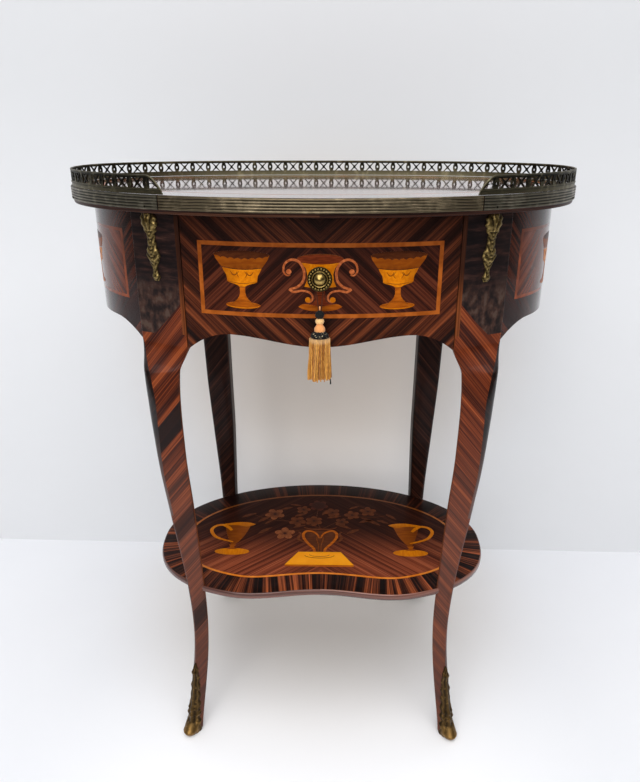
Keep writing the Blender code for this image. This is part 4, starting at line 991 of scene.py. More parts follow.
def galleryTree():
    tree, given, made = startTree("galleryRun",
        {"Cell": "Object", "Start": "Object", "End": "Object", "Line": "Object", "Count": "Int",
        "Pitch": "Float", "First": "Float", "Finish": "Material"})
    parts = {key: put(tree, "GeometryNodeObjectInfo", {0: given[key]}).outputs["Geometry"]
        for key in ("Cell", "Start", "End", "Line")}
    first = put(tree, "ShaderNodeCombineXYZ", {0: given["First"]})
    pitch = put(tree, "ShaderNodeCombineXYZ", {0: given["Pitch"]})
    row = put(tree, "GeometryNodeMeshLine",
        {"Count": given["Count"], "Start Location": first, "Offset": pitch})
    cells = put(tree, "GeometryNodeInstanceOnPoints", {"Points": row, "Instance": parts["Cell"]})
    strip = put(tree, "GeometryNodeJoinGeometry")
    for part in (cells.outputs[0], parts["Start"], parts["End"]):
        tree.links.new(part, strip.inputs[0])
    real = put(tree, "GeometryNodeRealizeInstances", {0: strip})
    welded = put(tree, "GeometryNodeMergeByDistance", {0: real, "Distance": 0.00001})
    # bend the flat strip round the rim: x along it, y towards the inside, z up
    at = put(tree, "ShaderNodeSeparateXYZ", {0: put(tree, "GeometryNodeInputPosition").outputs[0]}).outputs
    spot = put(tree, "GeometryNodeSampleCurve", {"Curves": parts["Line"], "Length": at[0]}, mode="LENGTH")
    inward = put(tree, "ShaderNodeVectorMath", {0: (0, 0, 1), 1: spot.outputs["Tangent"]},
        operation="CROSS_PRODUCT").outputs[0]
    aside = put(tree, "ShaderNodeVectorMath", {0: inward, "Scale": at[1]}, operation="SCALE").outputs[0]
    placed = put(tree, "ShaderNodeVectorMath", {0: spot.outputs["Position"], 1: aside},
        operation="ADD").outputs[0]
    raised = put(tree, "ShaderNodeVectorMath",
        {0: placed, 1: put(tree, "ShaderNodeCombineXYZ", {2: at[2]})}, operation="ADD").outputs[0]
    bent = put(tree, "GeometryNodeSetPosition", {0: welded, "Position": raised})
    done = put(tree, "GeometryNodeSetMaterial", {0: bent, "Material": given["Finish"]})
    tree.links.new(done.outputs[0], made[0])
    return tree


galleryBase = topForm["height"] + 0.0003
rimStops = spread(galleryStart, galleryStart + galleryLength, 500)
galleryLine = addObject("galleryLine", polyLine("galleryLine",
    [(*rimPoint(d, 0), galleryBase) for d in rimStops]))
galleryMesh = growMesh("gallery_pierced", galleryTree(),
    {"Cell": cell, "Start": startPlate, "End": endPlate, "Line": galleryLine, "Count": cellCount,
    "Pitch": cellPitch, "First": gallery["ramp"], "Finish": galleryBrass})
for helper in (cell, startPlate, endPlate, galleryLine):
    bpy.data.objects.remove(helper)
turnOutward(galleryMesh)
wear = [lineAt([(0, 0.9), (0.001, 0.9), (gallery["foot"] + 0.001, 0.4), (gallery["foot"] + 0.0012, 0.05)],
    v.co.z - galleryBase) for v in galleryMesh.vertices]
galleryMesh.attributes.new("wear", "FLOAT", "POINT").data.foreach_set("value", wear)
settle("gallery_pierced", galleryMesh, galleryBrass, "carcase", ["gallery"], 30)


def makeRail(name, radius, height, inset, ramped):
    # a drawn wire soldered along the gallery, down its ramps too where ramped says so
    stops = spread(0, gallery["ramp"], 14)[1:]
    stops += spread(gallery["ramp"], galleryLength - gallery["ramp"], 200)[1:-1]
    stops += spread(galleryLength - gallery["ramp"], galleryLength, 14)[:-1]
    path = []
    for s in stops:
        p = rimPoint(galleryStart + s, inset)
        z = rampHeight(min(s, galleryLength - s)) - galleryHeight + height if ramped else height
        path.append(Vector((p.x, p.y, galleryBase + z)))
    sides, points, wear = 8, [], []
    for i, middle in enumerate(path):
        run = (path[min(i + 1, len(path) - 1)] - path[max(i - 1, 0)]).normalized()
        aside = Vector((0, 0, 1)).cross(run).normalized()
        up = run.cross(aside)
        for k in range(sides):
            turn = 2 * pi * k / sides
            points.append(middle + (aside * cos(turn) + up * sin(turn)) * radius)
            wear.append(0.25 + 0.5 * max(sin(turn), 0))
    faces = tubeFaces(len(path), sides)
    makePiece(name, points, faces, galleryBrass, "carcase", marks={"wear": wear}, crease=60)


makeRail("gallery_rail", 0.0011, galleryHeight - 0.0009, gallery["thick"] / 2, True)
makeRail("gallery_bead", 0.0008, gallery["foot"] - 0.0012, 0.0001, False)
print("gallery bent,", cellCount, "cells")

# legs: the same stations as the solids, taken finer
carcase = {"inset": 0.022, "thick": 0.015, "sideDrop": 0.1275, "legDrop": 0.15, "dipReach": 0.055,
    "backDrop": 0.126, "backLegDrop": 0.136}
legForm = {"frontStile": 0.1505, "backStile": 0.14, "frontWidth": 0.069, "backWidth": 0.056, "depth": 0.04,
    "taper": 0.26, "lip": 0.0042, "lipEnd": 0.553, "proud": 0.001, "stileDrop": 0.15,
    "kneeDrop": 0.178, "stileEdge": 0.0015, "edge": 0.0045, "footGap": 0.003, "footTurn": 24.0,
    "flare": (0.0022, 0.0046), "grain": 50.0}
frontRows = ((1.0, 0.0213, 0.0, 0.0435, 0.036), (0.806, 0.0194, 0.003, 0.0365, 0.03),
    (0.656, 0.0127, 0.0052, 0.0322, 0.0272), (0.472, 0.0038, 0.0107, 0.024, 0.0215),
    (0.344, 0.0001, 0.014, 0.0208, 0.0195), (0.236, 0.0016, 0.0176, 0.0192, 0.0184),
    (0.139, 0.0065, 0.023, 0.0188, 0.0182), (0.036, 0.0132, 0.032, 0.0192, 0.0185),
    (0.0, 0.015, 0.035, 0.0192, 0.0185))
backRows = ((1.0, 0.0078, 0.005, 0.038, 0.034), (0.806, 0.005, 0.003, 0.0345, 0.0295),
    (0.656, 0.002, 0.001, 0.0305, 0.026), (0.472, 0.0, 0.0, 0.0228, 0.022), (0.344, 0.0, 0.0, 0.02, 0.02),
    (0.236, 0.0025, 0.005, 0.0188, 0.0188), (0.139, 0.007, 0.0135, 0.0195, 0.0195),
    (0.036, 0.013, 0.029, 0.0205, 0.0205), (0.0, 0.015, 0.0335, 0.0205, 0.0205))
corners = (("front_left", True, -1.0), ("front_right", True, 1.0), ("back_left", False, -1.0),
    ("back_right", False, 1.0))


def stileCorners(front):
    face = carcase["inset"] - legForm["proud"]
    start = rimDistance(legForm["frontStile" if front else "backStile"], face, not front)
    end = start + (legForm["frontWidth"] if front else -legForm["backWidth"])
    inner, outer = rimPoint(start, face), rimPoint(end, face)
    return [inner, outer, rimPoint(end, face + legForm["depth"] * 0.75),
        inner + Vector((0, legForm["depth"] * (1 if front else -1)))], end


def flared(front, low):
    # the front stiles spread a little over the side panels, more at the foot of the stile
    square, end = stileCorners(front)
    if front:
        face, end = carcase["inset"] - legForm["proud"], end + legForm["flare"][low]
        square[1:3] = rimPoint(end, face), rimPoint(end, face + legForm["depth"] * 0.75)
    return square


def legStations(front):
    stations = [(carcaseTop, flared(front, 0), legForm["stileEdge"]),
        (topForm["underside"] - legForm["stileDrop"], flared(front, 1), legForm["stileEdge"])]
    knee = topForm["underside"] - legForm["kneeDrop"]
    facing = -1.0 if front else 1.0
    footX, footY = (0.16, 0.104) if front else (0.1515, 0.113)
    for share, outX, outY, width, depth in frontRows if front else backRows:
        middle = Vector((footX + outX, facing * (footY + outY)))
        w, d = width / 2, facing * depth / 2
        lean = legForm["taper"] * depth if front else 0.0
        turn = Matrix.Rotation(facing * radians(legForm["footTurn"]) * (1 - share) ** 2, 2)
        square = [middle + turn @ Vector(v) for v in ((-w, d), (w, d), (w, -d), (lean - w, -d))]
        stations.append((legForm["footGap"] + (knee - legForm["footGap"]) * share, square, legForm["edge"]))
    return stations


def fineStations(stations, kneeSteps=16, legSteps=10):
    slopes = []
    for i in range(len(stations)):
        if i < 2:
            slopes.append([Vector((0, 0))] * 4)
            continue
        before, after = stations[i - 1], stations[min(i + 1, len(stations) - 1)]
        slopes.append([(b - a) / (after[0] - before[0]) for a, b in zip(before[1], after[1])])
    top, low = stations[:2]
    fine = [(top[0] + (low[0] - top[0]) * i / 10, [a.lerp(b, i / 10) for a, b in zip(top[1], low[1])],
        top[2]) for i in range(10)]
    for i in range(1, len(stations) - 1):
        low, high = stations[i], stations[i + 1]
        rise = high[0] - low[0]
        steps = kneeSteps if i == 1 else legSteps
        for k in range(steps):
            t = k / steps
            square = [a * (2 * t ** 3 - 3 * t * t + 1) + sa * rise * (t ** 3 - 2 * t * t + t)
                + b * (3 * t * t - 2 * t ** 3) + sb * rise * (t ** 3 - t * t)
                for a, b, sa, sb in zip(low[1], high[1], slopes[i], slopes[i + 1])]
            fine.append((low[0] + rise * t, square, low[2] + (high[2] - low[2]) * t))
    return fine + [stations[-1]]


legLines = {front: fineStations(legStations(front)) for front in (True, False)}


def legSquare(front, height):
    for upper, lower in zip(legLines[front], legLines[front][1:]):
        if lower[0] <= height <= upper[0]:
            share = (upper[0] - height) / (upper[0] - lower[0])
            return [a.lerp(b, share) for a, b in zip(upper[1], lower[1])]
    return legLines[front][-1][1]


def legVeneerFinish(name, tones, seed, bands=()):
    # red veneer on the leg, near-black figured veneer on the stile down to a slanting joint
    finish = veneer(name, tones, seed=seed, bands=150.0, streaks=0.5, rare=0.6, lacquer=0.08, rough=0.34,
        shine=0.1)
    tree = finish.node_tree
    place, height = objectSpace(tree), heightIn(tree)
    across = put(tree, "ShaderNodeSeparateXYZ",
        {0: put(tree, "ShaderNodeUVMap", uv_map="grain").outputs[0]}).outputs[0]
    ripple = cloud(tree, place, (22, 22, 170), 3.0, (seed, 0, 0))
    fleck = cloud(tree, place, (130, 130, 700), 2.0)
    share = weigh(tree, (ripple, 0.75), (fleck, 0.25))
    stile = ramp(tree, share, [(0.38, tint(15, 10, 11)), (0.5, tint(27, 17, 16)), (0.6, tint(46, 28, 24)),
        (0.7, tint(70, 46, 38))])
    burr = ramp(tree, cloud(tree, place, (130, 130, 100), 3.0, (seed, 0, 0)),
        [(0.36, tint(26, 17, 15)), (0.47, tint(44, 30, 26)), (0.56, tint(62, 40, 32)),
        (0.66, tint(74, 57, 48))])
    stile = blendColour(tree, step(tree, height, 0.64, 0.6), stile, burr)
    joint = markIn(tree, "stile")

    def mix(tree, leg):
        # painted reflection: the lower leg is greyed as if it mirrored the pale floor; near the foot it
        # turns darker again
        leg = fade(tree, height, 0.5, 0.3, 0.4, leg, tint(98, 70, 61))
        leg = fade(tree, height, 0.22, 0.1, 0.5, leg, tint(70, 42, 35))
        for low, high, deep in bands:
            inside = times(tree, step(tree, across, low - 0.0006, low + 0.0006),
                step(tree, across, high + 0.0006, high - 0.0006))
            leg = blendColour(tree, times(tree, inside, deep), leg, tint(24, 17, 16))
        return blendColour(tree, step(tree, joint, -0.0002, 0.0002), leg, stile)

    overlay(finish, mix)
    return finish


# painted shade: near-black tones for the back legs, which stand under the top, and for the arris of the
# front legs
shadedLegTones = tints((14, 8, 7), (20, 11, 9), (29, 16, 12), (46, 27, 20))
lipVeneer = veneer("lipVeneer", tints((66, 32, 16), (92, 46, 22), (112, 58, 28), (134, 74, 38)), seed=4.4,
    bands=220.0, streaks=0.1, rare=0.56, lacquer=0.05, rough=0.34, shine=0.05)
overlay(lipVeneer, lambda tree, base: fade(tree, heightIn(tree), 0.59, 0.645, 0.85, base, tint(28, 16, 13)))
# painted shade: the inner faces of the legs, the backs and edges of the panels and the shelf's underside
# are all near-black
innerShadedVeneer = veneer("innerShadedVeneer", innerShadeTones, seed=6.4, bands=120.0, streaks=0.4, rare=0.56, lacquer=0.06,
    rough=0.3, shine=0.08)
# the outer arris of the front legs: near-black painted shade towards the knee, and a pale painted highlight
# lower down
arrisShadeAndSheen = veneer("arrisShadeAndSheen", shadedLegTones, seed=12.6, bands=160.0, streaks=0.2, rare=0.56, lacquer=0.3)
overlay(arrisShadeAndSheen, lambda tree, base: blendColour(tree, step(tree, heightIn(tree), 0.46, 0.36), base,
    tint(86, 63, 56)))


def stileJoint(x, front):
    # height at which the dark veneer of the stile ends
    return 0.563 + 1.15 * max(0.19 - x, 0) if front else 0.58


def makeLeg(place, front, side, finish):
    arc, flat, points, stile = 4, 4, [], []
    for height, square, rounding in legLines[front]:
        for k in range(4):
            corner, before, after = square[k], square[k - 1], square[(k + 1) % 4]
            edge = rounding + (0.006 * max(0, 1 - abs(height - 0.49) / 0.1) if front and k == 1 else 0)
            a, b = (before - corner).normalized(), (after - corner).normalized()
            ring = [corner + (a + b) * edge - (a * sin(t) + b * cos(t)) * edge
                for t in spread(0, pi / 2, arc)]
            start, end = corner + b * edge, after - b * edge
            cuts = (legForm["lip"] / (end - start).length, 0.4, 0.7) if k == 0 else (0.25, 0.5, 0.75)
            for p in ring + [start.lerp(end, share) for share in cuts]:
                points.append((side * p.x, p.y, height))
                stile.append(height - stileJoint(p.x, front))
    count = 4 * (arc + flat)
    sideOf = [((i // (arc + flat)) - (1 if i % (arc + flat) < arc // 2 else 0)) % 4 for i in range(count)]
    faces, grain, finishOf = [], [], []
    for row in range(len(legLines[front]) - 1):
        for i in range(count):
            j = (i + 1) % count
            quad = (row * count + i, row * count + j, (row + 1) * count + j, (row + 1) * count + i)
            faces.append(quad)
            face = sideOf[i]
            lip = front and face == 0 and i <= arc and points[quad[2]][2] > legForm["lipEnd"]
            uvs = []
            for v in quad:
                x, y, z = points[v]
                if face == 3 or lip:
                    uvs.append((x + y, z))  # the inner side and its lip have the grain upright
                else:
                    uvs.append(slant(abs(x) if face != 1 else abs(y), z, legForm["grain"]))
            grain.append(uvs)
            arris = front and arc + flat <= i < 2 * arc + flat and 0.34 < points[quad[0]][2] < 0.56
            finishOf.append(3 if arris else 1 if lip else (0, 0, 2, 1 if front else 2)[face])
    for first in (0, (len(legLines[front]) - 1) * count):
        ring = tuple(range(first, first + count))
        faces.append(ring)
        grain.append([(points[v][0], points[v][1]) for v in ring])
        finishOf.append(2)
    makePiece("leg_" + place + "_veneered", points, faces, [finish, lipVeneer, innerShadedVeneer, arrisShadeAndSheen],
        "carcase", ["leg_" + place], grain, {"stile": stile}, finishOf, 30)


legTones = tints((40, 14, 7), (78, 31, 13), (108, 47, 21), (144, 71, 35))
leftBands = [(0.417, 0.44, 0.95), (0.3286, 0.3478, 0.7), (0.2294, 0.2515, 0.8)]
legFinishes = [legVeneerFinish("legVeneerLeft", legTones, 3.1, leftBands),
    legVeneerFinish("legVeneerRight", legTones, 9.4),
    # the back legs are shaded copies of the front legs' veneer: painted shade
    legVeneerFinish("legShadedVeneerBackLeft", shadedLegTones, 14.2),
    legVeneerFinish("legShadedVeneerBackRight", shadedLegTones, 21.7)]
for (place, front, side), finish in zip(corners, legFinishes):
    makeLeg(place, front, side, finish)
print("legs veneered")

# side and back aprons, veneered like the drawer; the side aprons get a string frame, and the grain turned
# about inside it
drawerLines = {"low": 0.5948, "lowIn": 0.5992, "highIn": 0.6698, "high": 0.6742}
sideLines = {"low": 0.5998, "lowIn": 0.6034, "highIn": 0.676, "high": 0.6796}
panelGrain = 43.0
insideTones = tints((26, 11, 7), (48, 20, 12), (70, 31, 18), (94, 45, 27))
drawerFinishes = [veneer("outerVeneer", rosewoodTones, seed=11.3, bands=150.0, streaks=0.7, rare=0.56,
    lacquer=0.15, rough=0.22, shine=0.1), stringWood,
    veneer("insideVeneer", insideTones, seed=17.9, bands=150.0, streaks=0.4, rare=0.58, lacquer=0.15,
    rough=0.22, shine=0.1), innerShadedVeneer]
# painted shade: the drawer's veneers go darker towards the top, under the overhang of the top
for finish in drawerFinishes[::2]:
    overlay(finish, lambda tree, base: fade(tree, heightIn(tree), 0.615, 0.69, 0.6, base, tint(16, 9, 8)))
sideString = inlayWood("sideString", tint(134, 64, 32), tint(106, 48, 22), tint(60, 28, 14),
    scale=(90, 90, 90), lacquer=1.0)
sideTones = tints((20, 9, 7), (38, 17, 12), (56, 26, 17), (80, 39, 25))
sideInsideTones = tints((54, 23, 14), (76, 34, 20), (95, 45, 27), (114, 58, 37))
sideFinishes = [veneer("sideOuter", sideTones, seed=23.3, bands=150.0, streaks=0.5, rare=0.56, lacquer=0.9,
    rough=0.15, shine=0.1), sideString,
    veneer("sideInside", sideInsideTones, seed=29.9, bands=150.0, streaks=0.4, rare=0.58, lacquer=0.9,
    rough=0.15, shine=0.1), innerShadedVeneer]
for finish in sideFinishes[:3]:
    finish.node_tree.nodes["Principled BSDF"].inputs["Coat IOR"].default_value = 1.3


def panelRows(bottom, p):
    rows = [bottom + (p["low"] - bottom) * i / 4 for i in range(4)] + [p["low"], p["lowIn"]]
    rows += spread(p["lowIn"], p["highIn"], 8)[1:] + [p["high"]]
    return rows + spread(p["high"], carcaseTop, 3)[1:]


def makePanel(name, stops, outer, inner, bottom, along, frameEnds, body, nodes, lines, finishes,
        top=carcaseTop):
    # stops run across the panel; outer and inner give the two faces' points
    rowsFor = [panelRows(bottom(s), lines) for s in stops]
    rows = len(rowsFor[0])
    scale = (top - lines["high"]) / (carcaseTop - lines["high"])
    points = []
    for face in (outer, inner):
        for s, heights in zip(stops, rowsFor):
            for z in heights:
                z = z if z <= lines["high"] else lines["high"] + (z - lines["high"]) * scale
                p = face(s)
                points.append((p[0], p[1], z))
    half = len(stops) * rows
    faces, grain, finishOf = [], [], []
    for layer in (0, half):
        for c in range(len(stops) - 1):
            for r in range(rows - 1):
                quad = (layer + c * rows + r, layer + (c + 1) * rows + r, layer + (c + 1) * rows + r + 1,
                    layer + c * rows + r + 1)
                faces.append(quad if layer == 0 else quad[::-1])
                middle = (along(stops[c]) + along(stops[c + 1])) / 2
                z = sum(points[v][2] for v in quad) / 4
                spots = [(along(stops[(v - layer) // rows]), points[v][2]) for v in faces[-1]]
                zone = 3
                if layer == 0:
                    zone = 0
                    if frameEnds and middle < frameEnds[1] and lines["low"] < z < lines["high"]:
                        zone = 2 if middle < frameEnds[0] and lines["lowIn"] < z < lines["highIn"] else 1
                finishOf.append(zone)
                if zone == 0:
                    grain.append([slant(-a, u, panelGrain) for a, u in spots])
                elif zone == 2:
                    grain.append([slant(a, u, panelGrain) for a, u in spots])
                else:
                    grain.append([(u, a) for a, u in spots])
    last = (len(stops) - 1) * rows
    border = [(c, c + rows) for c in range(0, last, rows)]
    border += [(last + r, last + r + 1) for r in range(rows - 1)]
    border += [(c + 2 * rows - 1, c + rows - 1) for c in range(0, last, rows)]
    border += [(r + 1, r) for r in range(rows - 1)]
    for a, b in border:
        faces.append((b, a, half + a, half + b))
        grain.append([(points[v][1], points[v][0] + points[v][2]) for v in faces[-1]])
        finishOf.append(3)
    # the string is darker near the top: painted shade under the overhang of the top
    return makePiece(name, points, faces, finishes, body, nodes, grain,
        {"tone": [0.5 if p[2] > 0.65 else 0.05 for p in points]}, finishOf, 30)


_, frontEnd = stileCorners(True)
_, backEnd = stileCorners(False)
panelMiddle = (frontEnd + backEnd) / 2
panelHalf = (backEnd - frontEnd) / 2
frameReach = (panelHalf - 0.0265, panelHalf - 0.022)


def panelStops(middle, half, ends):
    inside = spread(-ends[0], ends[0], 26) if ends else spread(-half, half, 40)
    if ends:
        inside = spread(-half, -ends[1], 5) + inside + spread(ends[1], half, 5)
    return [middle + s for s in inside]


def sideBottom(d):
    # level, dipping to the legs at both ends
    past = max(min(abs(d) - frontEnd, backEnd - abs(d)), 0)
    dip = max(1 - past / carcase["dipReach"], 0) ** 2
    return topForm["underside"] - carcase["sideDrop"] - (carcase["legDrop"] - carcase["sideDrop"]) * dip


for name, side in (("left", -1.0), ("right", 1.0)):
    makePanel("apron_" + name + "_veneered", panelStops(panelMiddle, panelHalf, frameReach),
        lambda d: rimPoint(side * d, carcase["inset"]),
        lambda d: rimPoint(side * d, carcase["inset"] + carcase["thick"]), sideBottom,
        lambda d: abs(d - panelMiddle), frameReach, "carcase", ["apron_" + name], sideLines, sideFinishes)
backStile = rimDistance(legForm["backStile"], carcase["inset"] - legForm["proud"], True)


def backBottom(d):
    reach = (d if d <= rimHalf else 2 * rimHalf - d) - backStile
    swell = sin(pi / 2 * min(max(reach / (rimHalf - backStile), 0), 1))
    rise = (carcase["backLegDrop"] - carcase["backDrop"]) * swell
    return topForm["underside"] - carcase["backLegDrop"] + rise


makePanel("apron_back_veneered", panelStops(rimHalf, rimHalf - backStile, None),
    lambda d: rimPoint(d, carcase["inset"]), lambda d: rimPoint(d, carcase["inset"] + carcase["thick"]),
    backBottom, lambda d: abs(d - rimHalf), None, "carcase", ["apron_back"], sideLines, sideFinishes)
print("aprons veneered")

# drawer front with its marquetry
drawer = {"half": 0.1497, "backY": -0.09794, "top": 0.7009, "waist": 0.129, "centre": 0.14, "ear": 0.152,
    "waistX": 0.1}
faceLines = {}


def faceY(x, lift):
    # how far forward the drawer's face lies at x
    key = round(lift, 6)
    if key not in faceLines:
        line = [p - rimNormal(p) * (carcase["inset"] - lift) for p in rim[:300]]
        faceLines[key] = [p.x for p in line], [p.y for p in line]
    xs, ys = faceLines[key]
    i = min(max(bisect_left(xs, abs(x)), 1), len(xs) - 1)
    return ys[i - 1] + (ys[i] - ys[i - 1]) * (abs(x) - xs[i - 1]) / (xs[i] - xs[i - 1])


def onFace(x, z, lift):
    return x, faceY(x, lift), z


def drawerBottom(x):
    swell = cos(pi / 2 * min(abs(x) / drawer["waistX"], 1)) ** 2
    drop = drawer["waist"] + (drawer["centre"] - drawer["waist"]) * swell
    past = max(abs(x) - drawer["waistX"], 0) / (legForm["frontStile"] - drawer["waistX"])
    return topForm["underside"] - drop - (drawer["ear"] - drawer["waist"]) * past ** 2


makePanel("drawer_front_veneered", panelStops(0.0, drawer["half"], (0.1262, 0.1306)),
    lambda x: (x, faceY(x, 0)), lambda x: (x, drawer["backY"]), drawerBottom, abs, (0.1262, 0.1306),
    "drawer", ["drawer_front"], drawerLines, drawerFinishes, drawer["top"])

goblet = {"place": 0.0828, "rim": 0.0302, "rimZ": 0.6606, "squat": 0.955}


def drawGoblet(gold, amber, brown, cx, rimZ, side):
    def shift(points):
        return [(cx + x, rimZ + z * goblet["squat"]) for x, z in points]

    def lit(x, z):
        return min(abs(x - cx) / 0.024, 1) ** 2 * 0.5 + (0.25 if side * (x - cx) > 0.008 else 0)

    brown.add(shift(ellipse(0, 0, goblet["rim"], 0.005, 36)), 0.00012,
        lambda x, z: 0.5 + 0.45 * min(max((z - rimZ) / 0.005, 0), 1))
    lip = mm((-30.2, 0.8), (-28, -5), (-22.2, -13.2))
    lip += [(-0.0222 + 0.0444 * i / 12, -0.0132 - 0.0022 * sin(pi * i / 12)) for i in range(1, 12)]
    lip += mm((22.2, -13.2), (28, -5), (30.2, 0.8))
    scallops = [(0.0302 - 0.0604 * i / 40, -0.002 - 0.003 * sin(pi * i / 40)
        + 0.0016 * abs(sin(pi * i / 5))) for i in range(1, 40)]
    amber.add(shift(lip + scallops), 0.00016,
        lambda x, z: 0.55 + 0.3 * min(max((rimZ - 0.004 - z) / 0.01, 0), 1) * (0.6 + 0.4 * sin(x * 900)))
    bowl = mm((21.6, -14), (19.6, -18.2), (17.2, -22.2), (16.5, -26.2), (16.2, -29.6), (14, -30.6),
        (9.8, -31.8), (5, -33.6), (3, -35.2))
    brim = [(-0.0216 + 0.0432 * i / 12, -0.014 - 0.0022 * sin(pi * i / 12)) for i in range(1, 12)]
    gold.add(shift([(-x, z) for x, z in bowl] + bowl[::-1] + brim[::-1]), 0.00016, lit)
    amber.stroke(shift(mm((-16.4, -29.2), (0, -31.6), (16.4, -29.2))), mm(0.4, 0.7, 0.4), 0.00022, 0.7)
    gold.add(shift(ellipse(0, -0.0215, 0.0046, 0.004, 18)), 0.00024, 0.0)
    for s in (-1, 1):
        amber.stroke(shift([(s * 0.005, -0.018), (s * 0.0068, -0.0216), (s * 0.0098, -0.0218),
            (s * 0.0128, -0.0178)]), mm(0.3, 1.2, 1.2, 0.3), 0.00024, 0.75)
        amber.stroke(shift([(s * 0.0032, -0.018), (s * 0.0052, -0.0216), (s * 0.003, -0.0252)]),
            mm(0.3, 0.9, 0.3), 0.00027, 0.75)
    stem = mm((3, -35.8), (2.9, -42), (4, -46.2), (6.2, -49.4), (9.2, -52.2), (12, -54), (12.2, -55.2))
    amber.add(shift([(-x, z) for x, z in stem] + stem[::-1]), 0.00018,
        lambda x, z: 0.55 * min(abs(x - cx) / 0.009, 1) ** 2)
    amber.add(shift(ellipse(0, -0.0562, 0.0192, 0.004, 32)), 0.00015,
        lambda x, z: 0.15 + 0.3 * abs(x - cx) / 0.02)
    gold.stroke(shift(ellipse(0, -0.056, 0.018, 0.0034, 24, pi * 1.02, pi * 1.98)), mm(0.4, 1.1, 0.4),
        0.00024, 0.25, 2)


drawerGold, drawerAmber, drawerBrown, drawerDeep, drawerCopper = (InlaySheet(onFace) for _ in range(5))
for side in (-1, 1):
    drawGoblet(drawerGold, drawerAmber, drawerBrown, side * goblet["place"], goblet["rimZ"], side)

# the same goblets, two on each side panel
for name, side in (("left", -1), ("right", 1)):
    def onSide(d, z, lift):
        return (*rimPoint(side * (panelMiddle + d), carcase["inset"] - lift), z)

    sheets = [InlaySheet(onSide) for _ in range(3)]
    for spot in (-0.051, 0.051):
        drawGoblet(*sheets, spot, 0.664, 1)
    for sheet, label, wood in zip(sheets, ("gold", "amber", "brown"), (goldWood, amberWood, brownWood)):
        sheet.finish("side_" + name + "_inlay_" + label, wood, "carcase")

# urn in the middle, half hidden by the knob
urnX = 0.0004


def atUrn(points, side=1):
    return [(urnX + side * x, z) for x, z in points]


drawerDeep.add(ellipse(urnX, 0.6577, 0.0244, 0.0052, 36), 0.00015, 0.2)
drawerBrown.stroke(ellipse(urnX, 0.6577, 0.0244, 0.0053, 30, 0.15, pi - 0.15), mm(0.5, 0.9, 0.5), 0.00022,
    0.0, 2)
urnBody = mm((21.6, 654.6), (18.8, 652.2), (15.2, 648.4), (13.6, 642), (14.2, 635), (16.8, 629),
    (13, 628.4), (6, 627.8), (3, 627.6))
urnTop = [(0.0216 - 0.0432 * i / 14, 0.6546 - 0.0022 * sin(pi * i / 14)) for i in range(1, 14)]
drawerGold.add(atUrn(urnTop) + atUrn(urnBody, -1) + atUrn(reversed(urnBody)), 0.00014,
    lambda x, z: min(abs(x) / 0.02, 1) ** 2 * 0.55)
drawerDeep.add(atUrn(mm((-5.8, 627.4), (5.8, 627.4), (4.2, 620.6), (5, 615), (8.4, 611.2), (15, 608.2),
    (-15, 608.2), (-8.4, 611.2), (-5, 615), (-4.2, 620.6))), 0.00018, 0.1)
for s in (-1, 1):
    drawerAmber.add(atUrn(rounded(4, mm((23.4, 607.2), (19, 610), (12, 609.8), (5, 608.4), (0.4, 607.8)),
        mm((0.4, 602.6), (8, 602.8), (17, 604.2), (23.3, 607.1))), s)[::s], 0.0002,
        lambda x, z: 0.15 + 0.5 * (1 - min(abs(x) / 0.02, 1)))
    # the handle: a scroll, a long S, and a smaller scroll back under the bowl
    arm = mm((-31.6, 641.2), (-34.6, 640.6), (-37.6, 642.8), (-38.8, 647), (-36.6, 653.4), (-30.2, 657.2),
        (-23.2, 655.6), (-18.4, 649.6), (-16.8, 642.4), (-18.4, 634.6), (-24, 628.8), (-31.8, 626.2))
    drawerCopper.stroke(atUrn(arm, -s), mm(1.2, 1.7, 2.3, 2.7, 2.8, 2.7, 2.4), 0.0002,
        lambda x, z: 0.3 + 0.3 * sin(x * 700 + z * 900))
    drawerCopper.add(atUrn(ellipse(-0.033, 0.6446, 0.0028, 0.0028, 14), -s)[::-s], 0.00024, 0.1)
    lower = mm((-33, 626.2), (-28, 623.2), (-19.6, 624.6), (-12, 623), (-8.2, 618.6), (-9.2, 613.6),
        (-13.2, 612))
    drawerCopper.stroke(atUrn(lower, -s), mm(2.8, 2.4, 2.2, 2.1, 1.9, 1.4), 0.00021, 0.15)
    drawerGold.add(atUrn(ellipse(-0.0132, 0.6148, 0.003, 0.003, 14), -s)[::-s], 0.00024, 0.3)
drawerGold.finish("drawer_inlay_gold", goldWood, "drawer")
drawerAmber.finish("drawer_inlay_amber", amberWood, "drawer")
drawerBrown.finish("drawer_inlay_brown", brownWood, "drawer")
drawerCopper.finish("drawer_inlay_copper", copperWood, "drawer")
deepWood = inlayWood("deepWood", tint(120, 50, 22), tint(94, 36, 16), tint(46, 18, 11),
    scale=(110, 400, 800))
drawerDeep.finish("drawer_inlay_deep", deepWood, "drawer")
print("drawer front inlaid")

# kidney-shaped undershelf
shelfForm = {"half": 0.228, "backBow": 0.147, "frontBow": 0.14, "power": 2.6, "dip": 0.0166, "reach": 0.12,
    "widest": -0.007, "top": 0.23, "thick": 0.009, "band": 0.0332, "string": 0.0034, "grain": 42.0,
    "count": 240}
shelfField = veneer("shelfField", tints((62, 27, 17), (96, 44, 27), (128, 62, 39), (164, 88, 56)),
    seed=27.5, bands=150.0, streaks=0.1, rare=0.56, lacquer=0.03, rough=0.3, shine=0.03)
shelfCross = veneer("shelfCross", tints((22, 13, 11), (48, 24, 17), (104, 51, 30), (166, 86, 49)),
    seed=31.8, bands=105.0, streaks=0.94, rare=0.5, lacquer=0.05, rough=0.3, shine=0.04)
shelfEdge = veneer("shelfEdge", tints((56, 30, 24), (84, 48, 38), (108, 66, 54), (138, 92, 76)), seed=35.2,
    bands=200.0, streaks=0.3)
